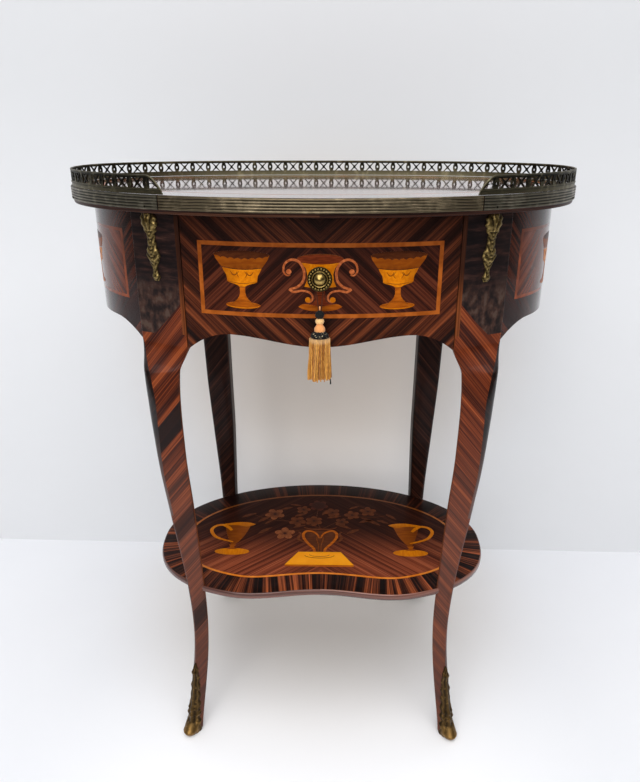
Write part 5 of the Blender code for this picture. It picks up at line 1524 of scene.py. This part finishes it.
# painted shade: the shelf's field and crossbanding go darker towards the back, under the top
for finish, reach, share in ((shelfField, (-0.09, 0.02), 0.9), (shelfCross, (-0.05, 0.08), 0.8)):
    overlay(finish, lambda tree, base: fade(tree, depthIn(tree), *reach, share, base, tint(22, 9, 7)))
shelfString = inlayWood("shelfString", tint(224, 132, 42), tint(202, 110, 28), tint(66, 32, 18),
    scale=(90, 90, 90), lacquer=0.3)
plinthWood = inlayWood("plinthWood", tint(238, 154, 12), tint(230, 144, 8), tint(140, 70, 8),
    scale=(40, 40, 40), lacquer=0.3)


def shelfOutline(turn):
    sine, cosine = sin(turn), cos(turn)
    if sine >= 0:
        return Vector((shelfForm["half"] * cosine, shelfForm["widest"] + shelfForm["backBow"] * sine))
    power = 2 / shelfForm["power"]
    x = copysign(shelfForm["half"] * abs(cosine) ** power, cosine)
    y = shelfForm["widest"] - shelfForm["frontBow"] * abs(sine) ** power
    if abs(x) < shelfForm["reach"]:
        y += shelfForm["dip"] * cos(pi / 2 * x / shelfForm["reach"]) ** 2
    return Vector((x, y))


def makeShelf():
    raw = [shelfOutline(-pi / 2 + 2 * pi * i / 2880) for i in range(2881)]
    lengths = [0.0]
    for a, b in zip(raw, raw[1:]):
        lengths.append(lengths[-1] + (b - a).length)
    count = shelfForm["count"]
    outline = []
    for i in range(count):
        reach = lengths[-1] * i / count
        k = min(max(bisect_left(lengths, reach), 1), len(raw) - 1)
        share = (reach - lengths[k - 1]) / max(lengths[k] - lengths[k - 1], 1e-9)
        outline.append(raw[k - 1].lerp(raw[k], share))
    inward = []
    for i in range(count):
        run = outline[(i + 2) % count] - outline[i - 2]
        inward.append(Vector((-run.y, run.x)).normalized())
    top, low = shelfForm["top"], shelfForm["top"] - shelfForm["thick"]
    rows = [(0.003, low), (0.001, low + 0.0004), (0.0002, low + 0.0016), (0, low + 0.0045),
        (0.0002, top - 0.0016), (0.0008, top - 0.0004), (0.0018, top), (shelfForm["band"], top),
        (shelfForm["band"] + shelfForm["string"], top)]
    points = [(*(outline[i] + inward[i] * inset), height) for inset, height in rows for i in range(count)]
    faces, grain, finishOf = [], [], []
    for row in range(len(rows) - 1):
        for i in range(count):
            j = (i + 1) % count
            faces.append((row * count + i, row * count + j, (row + 1) * count + j, (row + 1) * count + i))
            spots = [(row, i), (row, i + 1), (row + 1, i + 1), (row + 1, i)]
            around = [lengths[-1] * k / count for _, k in spots]
            if row == 6:
                grain.append([(d, rows[r][0]) for d, (r, _) in zip(around, spots)])
            else:
                grain.append([(rows[r][1] + rows[r][0], d) for d, (r, _) in zip(around, spots)])
            finishOf.append(0 if row < 6 else row - 5)
    last = (len(rows) - 1) * count
    for half in (range(0, count // 2 + 1), range(count // 2, count + 1)):
        ring = tuple(last + k % count for k in half)
        faces.append(ring)
        grain.append([slant(abs(points[k][0]), points[k][1] + 0.3, shelfForm["grain"]) for k in ring])
        finishOf.append(3)
    faces.append(tuple(range(count)))
    grain.append([(points[k][1], points[k][0]) for k in range(count)])
    finishOf.append(4)
    # the shelf's string darkens towards the back: painted shade under the top
    makePiece("shelf_veneered", points, faces,
        [shelfEdge, shelfCross, shelfString, shelfField, innerShadedVeneer], "carcase", ["shelf"],
        grain, {"tone": [min(max((p[1] + 0.06) / 0.16, 0), 0.85) for p in points]}, finishOf, 50)


makeShelf()


def onShelf(x, y, lift):
    return x, y, shelfForm["top"] + lift


shelfGold, shelfAmber, shelfBrown, shelfDeep, shelfPeach = (InlaySheet(onShelf, 0.012) for _ in range(5))
pitcher = {"place": 0.1255}
for s in (-1, 1):
    def sided(points):
        return [(s * x, y) for x, y in points]

    body = rounded(4, mm((106.5, 15), (112, -8), (119, -25), (125, -33.5)),
        mm((129, -33), (135, -18), (141, 2), (144, 16)))
    shelfAmber.add(sided(body + smoothLine(mm((140, 19), (125, 20), (110, 18)), 4)), 0.00012,
        lambda x, y: 0.55 + 0.35 * min(max((abs(x) - 0.116) / 0.03, 0), 1))
    spout = rounded(5, mm((99.5, 20), (109, 23.8), (124, 25), (140, 21.5), (148, 19)),
        mm((142, 16), (126, 16.8), (112, 13), (101, 18)))
    shelfGold.add(sided(spout), 0.00018, lambda x, y: 0.2 + 0.5 * min(max((0.019 - y) / 0.008, 0), 1))
    shelfGold.stroke(sided(mm((127, -26), (140, -21.5), (153, -14.5), (160, -5), (162.8, 5), (158, 14),
        (148, 17), (139, 11), (133, 3))), mm(2.2, 3.4, 4.6, 5, 4.8, 4.4, 5.6, 4), 0.00022, 0.25)
    neck = rounded(4, mm((121.5, -33), (124, -39), (118, -44)), mm((134, -44), (129.5, -39), (132, -33)))
    shelfAmber.add(sided(neck), 0.0002, 0.35)
    shelfGold.add(sided(ellipse(pitcher["place"], -0.049, 0.0244, 0.0078, 36)), 0.00016,
        lambda x, y: 0.25 * abs(abs(x) - 0.1255) / 0.024)
    shelfGold.stroke(sided(ellipse(pitcher["place"], -0.049, 0.0222, 0.0066, 24, pi * 1.05, pi * 1.95)),
        mm(0.8, 2.2, 0.8), 0.00022, 0.1, 2)

vaseX = -0.0022


def atVase(points, side=1):
    return [(vaseX + side * x, y) for x, y in points]


plinth = mm((-47, -77.6), (47, -77.6), (29.8, -48.4), (-29.8, -48.4))
shelfPlinth = InlaySheet(onShelf, 0.012)
shelfPlinth.add(atVase(plinth), 0.00014, 0.0)
shelfPlinth.finish("shelf_inlay_plinth", plinthWood, "carcase")
shelfAmber.add(atVase(mm((-47, -81.4), (47, -81.4), (47, -77.7), (-47, -77.7))), 0.00014, 0.0)
footRings = [(-0.056, 0.0205, 0.0066, mm(0.7, 1.2, 0.7)), (-0.0545, 0.014, 0.0046, mm(0.6, 1, 0.6))]
for y, wide, high, widths in footRings:
    shelfAmber.stroke(atVase(ellipse(0, y, wide, high, 22, pi, 2 * pi)), widths, 0.0002, 0.8, 2)
vaseBody = smoothLine(mm((5.2, -49), (7.5, -39), (17, -26), (23.2, -12), (22.5, -1), (16, 3)), 4)
shelfBrown.add(atVase(vaseBody) + atVase(reversed(vaseBody), -1), 0.00011, 0.35)
for s in (-1, 1):
    lobe = mm((7, -49), (8.5, -40), (17, -27.5), (23.6, -14), (24, -3), (18.5, 3.5), (10, 1), (4, -6),
        (1, -15))
    shelfAmber.stroke(atVase(lobe, s), mm(3.6, 3.6, 4, 4.2, 3.8, 3, 1.4), 0.0002, 0.0)
    shelfBrown.stroke(atVase(mm((20, -25), (29, -20.5), (31, -11), (28, -4), (32, 1)), s),
        mm(2, 3.6, 4, 3, 1.6), 0.00018, 0.0)
    shelfBrown.stroke(atVase(mm((0, 8), (11, 7.2), (19, 9.8), (24.5, 13)), s), mm(4.4, 3.6, 2.6, 1),
        0.00018, 0.0)
    shelfAmber.stroke(atVase(mm((2.2, -49), (2, -32), (4.5, -18), (3.6, -6)), s), mm(1, 1.2, 1.4, 0.6),
        0.00018, 0.7)

# spray of flowers and leaves above the vase
spray = {"flowers": [(-0.0725, 0.048, 0.015, 5, "peach", 0.35), (-0.054, -0.0035, 0.015, 5, "peach", 0.05),
    (-0.006, 0.074, 0.015, 6, "deep", 0.9), (0.016, 0.054, 0.012, 5, "brown", 0.15),
    (0.046, 0.047, 0.012, 5, "brown", 0.05), (0.0708, 0.0575, 0.013, 5, "brown", 0.1),
    (-0.037, 0.029, 0.013, 5, "brown", 0.1), (-0.012, 0.03, 0.013, 6, "brown", 0.2),
    (-0.029, 0.061, 0.011, 5, "brown", 0.2), (0.03, 0.028, 0.01, 5, "brown", 0.25)],
    "leaves": mm((-123, 38, -101, 50, 6), (-94, -6, -74, 12, 6.2), (-86, 20, -72, 33, 4.4),
    (60, 40, 88, 19, 7), (98, 50, 113, 35, 5.6), (20, 22, 44, 9, 6), (-42, 12, -24, 18, 5),
    (42, 64, 58, 72, 4.6), (-50, 76, -33, 72, 5), (-96, 26, -80, 40, 6.6), (-42, 42, -24, 50, 6),
    (8, 38, 29, 44, 6.2), (56, 27, 77, 33, 6), (-64, 61, -46, 68, 5.6), (0, 46, 10, 62, 5.6),
    (37, -3, 56, 8, 6.6), (83, 33, 100, 25, 5.8)),
    "stems": [mm((0, 10), (-25, 22), (-54, 30), (-74, 44)), mm((-2, 10), (-8, 36), (-6, 66)),
    mm((2, 10), (26, 30), (48, 43), (70, 54)), mm((-8, 11), (-30, 6), (-50, -2)),
    mm((-50, 29), (-80, 33), (-104, 46)), mm((48, 43), (80, 42), (100, 47))]}
sheets = {"peach": shelfPeach, "brown": shelfBrown, "deep": shelfDeep}
for stem in spray["stems"]:
    shelfBrown.stroke(stem, mm(1.3, 1.1, 0.7), 0.00012, 0.45)
for x0, y0, x1, y1, wide in spray["leaves"]:
    shelfBrown.stroke([(x0, y0), ((x0 * 2 + x1) / 3, (y0 * 2 + y1) / 3 + 0.001),
        ((x0 + x1 * 2) / 3, (y0 + y1 * 2) / 3 + 0.001), (x1, y1)], [0.0005, wide, wide * 0.9, 0.0004],
        0.00015, lambda x, y: 0.15 + 0.3 * (sin(x * 800) > 0))
for cx, cy, size, petals, wood, scorch in spray["flowers"]:
    for i in range(petals):
        turn = 2 * pi * i / petals + cx * 40
        middle = (cx + cos(turn) * size * 0.56, cy + sin(turn) * size * 0.56)
        petal = []
        for k in range(14):
            a = 2 * pi * k / 14
            out, aside = cos(a) * size * 0.46, sin(a) * size * 0.36
            petal.append((middle[0] + out * cos(turn) - aside * sin(turn),
                middle[1] + out * sin(turn) + aside * cos(turn)))
        sheets[wood].add(petal, 0.00016 + 0.00001 * i,
            lambda x, y: min(max(scorch + 0.75 * (1 - hypot(x - cx, y - cy) / (size * 0.75)), 0), 1))
    shelfDeep.add(ellipse(cx, cy, size * 0.17, size * 0.17, 10), 0.00026, 1.0)
shelfGold.finish("shelf_inlay_gold", goldWood, "carcase")
shelfAmber.finish("shelf_inlay_amber", amberWood, "carcase")
shelfBrown.finish("shelf_inlay_brown", brownWood, "carcase")
shelfDeep.finish("shelf_inlay_deep", deepWood, "carcase")
shelfPeach.finish("shelf_inlay_peach", peachWood, "carcase")
print("shelf inlaid")

# knob: a turned rosette with a beaded rim
knobForm = {"y": -0.1408, "z": 0.64, "neckEnd": 0.011, "head": 0.013, "beads": 22, "bead": 0.0012}
knobFace = Vector((0, knobForm["y"], knobForm["z"]))
knobBrass = brass("knobBrass", tint(30, 25, 16), tint(218, 184, 108), roughness=0.28, grime=(0.55, 0.85),
    patch=700.0, relief=0.03)
dullBrass = brass("dullBrass", tint(36, 30, 20), tint(120, 98, 60), roughness=0.36, grime=(0.42, 0.66),
    patch=900.0)


def makeTurning(name, profile, finish, nodes, wear, sides=64, ripple=None):
    points, faces = lathe(profile, sides, knobFace, (0, -1, 0), ripple)
    return makePiece(name, points, faces, finish, "drawer", nodes,
        marks={"wear": [wear[i // sides] for i in range(len(points))]}, crease=50)


basePlate = mm((0, 8.3), (0.6, 8.5), (1.3, 8.2), (1.8, 7), (2.2, 5.4), (3, 4.4), (4.6, 4.2), (9, 4.2),
    (11, 4.4))
makeTurning("knob_stem", basePlate, dullBrass, ["knob_base"], [0.2, 0.6, 0.8, 0.4, 0.2, 0.2, 0.5, 0.4, 0.2])
start = knobForm["neckEnd"] + 0.0003
rosette = mm((0, 6), (0.8, 9.8), (1.6, 12), (2.6, 12.4), (3.4, 12.1), (3.7, 11.2), (3.2, 10.4), (2.9, 9.4),
    (3.2, 8.6), (4, 8.2), (4.6, 7.7), (4.5, 7.1), (3.9, 6.6), (4.1, 6.1), (5.2, 5.6), (6.6, 4.4),
    (7.8, 2.6), (8.3, 1), (8.4, 0.1))
makeTurning("knob_rosette", [(start + a, r * knobForm["head"] / 0.0124) for a, r in rosette], knobBrass,
    ["knob_head"], [0.0, 0.0, 0.0, 0.05, 0.1, 0.1, 0.0, 0.0, 0.0, 0.5, 0.9, 0.5, 0.0, 0.0, 0.6, 0.9, 1.0,
    1.0, 1.0], 64, lambda row, turn: 1 + (0.012 * cos(22 * turn) if row < 6 else 0))


def beadTree():
    tree, given, made = startTree("knobBeads",
        {"Bead": "Object", "Count": "Int", "Radius": "Float", "Finish": "Material"})
    ring = put(tree, "GeometryNodeCurvePrimitiveCircle", {"Resolution": 64, "Radius": given["Radius"]})
    dots = put(tree, "GeometryNodeCurveToPoints", {0: ring, "Count": given["Count"]}, mode="COUNT")
    bead = put(tree, "GeometryNodeObjectInfo", {0: given["Bead"]})
    plant(tree, made, dots.outputs[0], bead.outputs["Geometry"], given["Finish"])
    return tree


bead = pattern("beadShape", *ballShape(knobForm["bead"], 6, 12))
beadMesh = growMesh("knob_beads", beadTree(),
    {"Bead": bead, "Count": knobForm["beads"], "Radius": 0.0106, "Finish": knobBrass})
bpy.data.objects.remove(bead)
beadPlace = Matrix.Translation(knobFace + Vector((0, -start - 0.0033, 0)))
beadMesh.transform(beadPlace @ Matrix.Rotation(pi / 2, 4, "X"))
beadMesh.attributes.new("wear", "FLOAT", "POINT").data.foreach_set("value", [0.75] * len(beadMesh.vertices))
settle("knob_beads", beadMesh, knobBrass, "drawer", (), 60)
print("knob turned")

# gilt drops on the stiles
drop = {"length": 0.0755, "half": 0.01, "relief": 0.005, "place": 0.59, "lean": 0.0045, "rows": 96,
    "columns": 24}
dropLine = [(0.0, 0.62, 0.5), (0.05, 0.98, 0.85), (0.12, 1.1, 1.0), (0.2, 1.05, 0.95), (0.27, 0.82, 0.75),
    (0.33, 0.6, 0.7), (0.42, 0.54, 0.62), (0.51, 0.64, 0.75), (0.6, 0.94, 0.95), (0.67, 0.84, 0.85),
    (0.74, 0.56, 0.65), (0.82, 0.32, 0.48), (0.89, 0.36, 0.5), (0.95, 0.62, 0.62), (1.0, 0.3, 0.25)]


def dropAt(share):
    for a, b in zip(dropLine, dropLine[1:]):
        if share <= b[0]:
            t = (share - a[0]) / (b[0] - a[0])
            t = t * t * (3 - 2 * t)
            return a[1] + (b[1] - a[1]) * t, a[2] + (b[2] - a[2]) * t
    return dropLine[-1][1:]


def dropCarving(share, a, width):
    # a fluted shell, leaves that turn out to both sides, and a row of pearls
    if share < 0.28:
        fan = atan2(a * width, 0.34 - share)
        return 0.5 + 0.5 * cos(fan * 9)
    leaf = 0.5 + 0.5 * sin(2 * pi * (share * 8.5 + abs(a) * 0.9))
    pearl = max(0, 1 - (abs(a) / 0.32) ** 2) * (0.5 + 0.5 * cos(2 * pi * share * 19))
    return max(leaf * min(1, abs(a) * 2.2), pearl)


def makeDrop(place, front, side):
    square, _ = stileCorners(front)
    along = (square[1] - square[0]).normalized()
    facing = Vector((along.y, -along.x))
    facing = facing if (facing.y < 0) == front else -facing
    middle = square[0].lerp(square[1], drop["place"])
    points, wear = [], []
    for row in range(drop["rows"] + 1):
        share = row / drop["rows"]
        width, relief = dropAt(share)
        width *= 1 + 0.07 * cos(2 * pi * share * 11)
        for k in range(drop["columns"] + 1):
            a = -1 + 2 * k / drop["columns"]
            carved = dropCarving(share, a, width)
            swell = max(1 - a * a, 0) ** 0.55
            out = 0.0003 + drop["relief"] * relief * swell * (0.68 + 0.32 * carved)
            p = middle + along * (a * width * drop["half"] + drop["lean"] * (0.5 - share)) + facing * out
            points.append((side * p.x, p.y, carcaseTop - 0.0003 - drop["length"] * share))
            wear.append(carved * swell)
    count = drop["columns"] + 1
    faces = tubeFaces(drop["rows"] + 1, count)
    makePiece("drop_" + place, points, faces, mountBrass, "carcase", ["chute_" + place],
        marks={"wear": wear}, crease=70)


# leaf shoes that climb the outer arris of each foot
shoe = {"height": 0.108, "rows": 108, "columns": 36,
    "knuckles": mm((94, 3.4, 2), (72, 4, 1), (37.5, 3, 1.9), (29, 2.6, 1.6))}
shoeReach = mm((0, 14), (10, 13.6), (20, 12.4), (34, 11.2), (48, 9.8), (62, 8.2), (75, 7.2), (88, 5.4),
    (98, 3.6), (108, 0.8))


def makeShoe(place, front, side):
    r = legForm["edge"]
    bend = r * pi / 4
    points, wear = [], []
    for row in range(shoe["rows"] + 1):
        z = shoe["height"] * row / shoe["rows"]
        square = legSquare(front, max(z, legForm["footGap"]))
        toFront, toSide = (square[0] - square[1]).normalized(), (square[2] - square[1]).normalized()
        hub = square[1] + (toFront + toSide) * r
        face = (square[0] - square[1]).length - r + bend
        reach = min(lineAt(shoeReach, z) * (1 + 0.1 * sin(z * 2 * pi / 0.0135)), face)
        ring, back, marks = [], [], []
        for k in range(shoe["columns"] + 1):
            a = -1 + 2 * k / shoe["columns"]
            p = a * reach
            psi = pi / 4 * (1 - min(max(p / bend, -1), 1))
            outward = -(toSide * cos(psi) + toFront * sin(psi))
            on = hub + outward * r + toFront * max(p - bend, 0) + toSide * max(-p - bend, 0)
            rib = exp(-(p / 0.0022) ** 2)
            flute = 0.5 + 0.5 * cos(a * 11)
            curl = 0.5 + 0.5 * sin(2 * pi * (z / 0.015 + abs(a) * 0.55))
            toe = max(0, 1 - abs(z - 0.007) / 0.01) ** 0.6
            thick = 0.0008 + 0.0009 * rib * (0.7 + 0.3 * curl) + 0.0011 * flute + 0.0007 * curl * abs(a)
            thick += toe * (0.0012 + 0.0085 * exp(-(p / 0.0075) ** 2))
            thick += (0.4 + 0.6 * flute) * sum(size * exp(-((z - at) / wide) ** 2)
                for at, wide, size in shoe["knuckles"])
            thick *= min(1, (1 - abs(a)) * 6 + 0.35)
            ring.append(on + outward * thick)
            back.append(on - outward * 0.0002)
            marks.append(min(1, 0.35 * flute + 0.1 * curl * abs(a) + 0.85 * toe * exp(-(p / 0.01) ** 2)))
        for p in ring + back[::-1]:
            points.append((side * p.x, p.y, z))
        wear += marks + [0.0] * len(back)
    count = 2 * (shoe["columns"] + 1)
    faces = tubeFaces(shoe["rows"] + 1, count)
    makePiece("shoe_" + place, points, faces, shoeBrass, "carcase", ["sabot_" + place],
        marks={"wear": wear}, crease=70)


for place, front, side in corners:
    makeDrop(place, front, side)
    makeShoe(place, front, side)
print("mounts chased")

# what stays as the solids have it: the drawer box, rails, blocks and fixings
beech = boardWood("beech", tint(190, 146, 98), tint(150, 104, 62))
beechAcross = boardWood("beechAcross", tint(186, 140, 92), tint(146, 98, 58), (0, 0, pi / 2))
pine = boardWood("pine", tint(206, 166, 110), tint(168, 122, 70), (0, 0, pi / 2))
railWood = boardWood("railWood", tint(92, 50, 34), tint(52, 26, 19), (0, 0, pi / 2))
steelFinish, steelTree, steelShader = startFinish("screwSteel", 0.4, 1.0)
steelNoise = cloud(steelTree, objectSpace(steelTree), (900, 900, 900), 3.0)
steelTree.links.new(blendColour(steelTree, steelNoise, tint(92, 88, 84), tint(170, 166, 160)),
    steelShader.inputs["Base Color"])
steelTree.links.new(maths(steelTree, "ADD", times(steelTree, steelNoise, 0.3), 0.25),
    steelShader.inputs["Roughness"])
dressed = {"drawer_side": beech, "drawer_runner": beech, "drawer_kicker": beech,
    "drawer_back": beechAcross, "drawer_bottom": pine, "glue_block": pine,
    "rail_front": railWood, "shelf_dowel": beech, "top_screw": steelFinish, "knob_bolt": steelFinish,
    "knob_nut": steelFinish}
for name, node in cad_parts.items():
    for prefix, finish in dressed.items():
        if name.startswith(prefix):
            node.data.materials.clear()
            node.data.materials.append(finish)
print("inside dressed")

# pale floor and wall, soft light; the room behind the camera is dim
studio = {"reach": 3.2, "wallY": 0.2955, "wallSlope": -0.0192, "wallHeight": 2.6, "roomY": -1.0,
    "pale": tint(228, 229, 231), "glow": 0.55,
    "lamps": [("ceilingLamp", (0.0, -0.8, 2.3), (0, 0, 0.2), (2.2, 1.8), 33),
    ("frontLamp", (-0.35, -2.2, 1.5), (0, 0, 0.45), (1.6, 1.2), 22)]}


def paleFinish(name, low, high):
    finish, tree, shader = startFinish(name, 0.6)
    shader.inputs["Specular IOR Level"].default_value = 0.2
    mottle = cloud(tree, objectSpace(tree), (3, 3, 3), 3.0)
    colour = blendColour(tree, mottle, low, high)
    tree.links.new(colour, shader.inputs["Base Color"])
    return finish, tree, shader, colour


def stagePlane(name, corners, finish):
    mesh = bpy.data.meshes.new(name)
    mesh.from_pydata(corners, [], [(0, 1, 2, 3)])
    mesh.materials.append(finish)
    addObject(name, mesh)


def paintLightNear(tree, colour, spot, warm):
    # painted light round a spot: near it the paper's colour goes over to another; used for painted warm
    # bounce from the wood, for painted shade and for a painted pool of light
    away = put(tree, "ShaderNodeVectorMath", {0: objectSpace(tree), 1: spot},
        operation="DISTANCE").outputs["Value"]
    return blendColour(tree, step(tree, away, 0.42, 0.1), colour, warm)


# lacquer that faces the camera mirrors the dim room, not the paper on the floor
floorFinish, tree, shader, colour = paleFinish("paleFloor", tint(232, 233, 237), tint(238, 239, 242))
# painted light on the floor: a brighter pool in front of the table, and warm painted shade under the table
colour = paintLightNear(tree, colour, (0, -0.2, 0), tint(252, 252, 254))
colour = paintLightNear(tree, colour, (0, 0.16, 0), tint(236, 230, 224))
dim = maths(tree, "SUBTRACT", 1.0, step(tree, depthIn(tree), studio["roomY"] - 0.3, studio["roomY"]))
reflected = times(tree, put(tree, "ShaderNodeLightPath").outputs["Is Glossy Ray"], dim)
tree.links.new(blendColour(tree, reflected, colour, tint(58, 54, 52)), shader.inputs["Base Color"])
wide = studio["reach"]
stagePlane("floor", [(-wide, -wide, 0), (wide, -wide, 0), (wide, wide, 0), (-wide, wide, 0)], floorFinish)

# the wall shows from the front only, so the back can be looked at
wallFinish, tree, shader, colour = paleFinish("paleWall", tint(224, 225, 227), tint(229, 230, 232))
# painted shade: the wall darkens towards the top
colour = blendColour(tree, step(tree, heightIn(tree), 0.5, 0.95), colour, tint(209, 210, 212))
# painted warm bounce light from the wood on the wall behind the table
tree.links.new(paintLightNear(tree, colour, (0, studio["wallY"], 0.42), tint(229, 220, 211)),
    shader.inputs["Base Color"])
behind = put(tree, "ShaderNodeNewGeometry").outputs["Backfacing"]
clear = put(tree, "ShaderNodeBsdfTransparent").outputs[0]
seen = put(tree, "ShaderNodeMixShader", {0: behind, 1: shader, 2: clear}).outputs[0]
tree.links.new(seen, tree.nodes["Material Output"].inputs[0])
foot = [(x, studio["wallY"] + studio["wallSlope"] * x) for x in (-wide, wide)]
stagePlane("wall", [(*foot[0], 0), (*foot[1], 0), (*foot[1], studio["wallHeight"]),
    (*foot[0], studio["wallHeight"])], wallFinish)

world = bpy.data.worlds.new("studioWorld")
bpy.context.scene.world = world
world.use_nodes = True
sky = world.node_tree
paths = put(sky, "ShaderNodeLightPath").outputs
toward = put(sky, "ShaderNodeSeparateXYZ", {0: put(sky, "ShaderNodeTexCoord").outputs["Generated"]}).outputs
bright = maths(sky, "MAXIMUM", step(sky, toward[1], -0.2, 0.4),
    times(sky, step(sky, toward[2], 0.3, 0.9), 0.7))
room = blendColour(sky, bright, tint(52, 49, 47), studio["pale"])
plain = put(sky, "ShaderNodeBackground", {"Color": studio["pale"]}).outputs[0]
glossy = put(sky, "ShaderNodeBackground", {"Color": room}).outputs[0]
fill = put(sky, "ShaderNodeBackground",
    {"Color": tint(240, 241, 243), "Strength": studio["glow"]}).outputs[0]
lit = put(sky, "ShaderNodeMixShader", {0: paths["Is Glossy Ray"], 1: fill, 2: glossy}).outputs[0]
direct = maths(sky, "MAXIMUM", paths["Is Camera Ray"], paths["Is Transmission Ray"])
sky.links.new(put(sky, "ShaderNodeMixShader", {0: direct, 1: lit, 2: plain}).outputs[0],
    sky.nodes["World Output"].inputs[0])


def softLamp(name, place, aim, size, power):
    lamp = bpy.data.lights.new(name, "AREA")
    lamp.shape = "RECTANGLE"
    lamp.size, lamp.size_y = size
    lamp.energy = power
    holder = addObject(name, lamp)
    holder.location = place
    holder.rotation_euler = (Vector(aim) - Vector(place)).to_track_quat("-Z", "Y").to_euler()


for lamp in studio["lamps"]:
    softLamp(*lamp)
bpy.context.scene.view_settings.view_transform = "Standard"
print("studio lit")
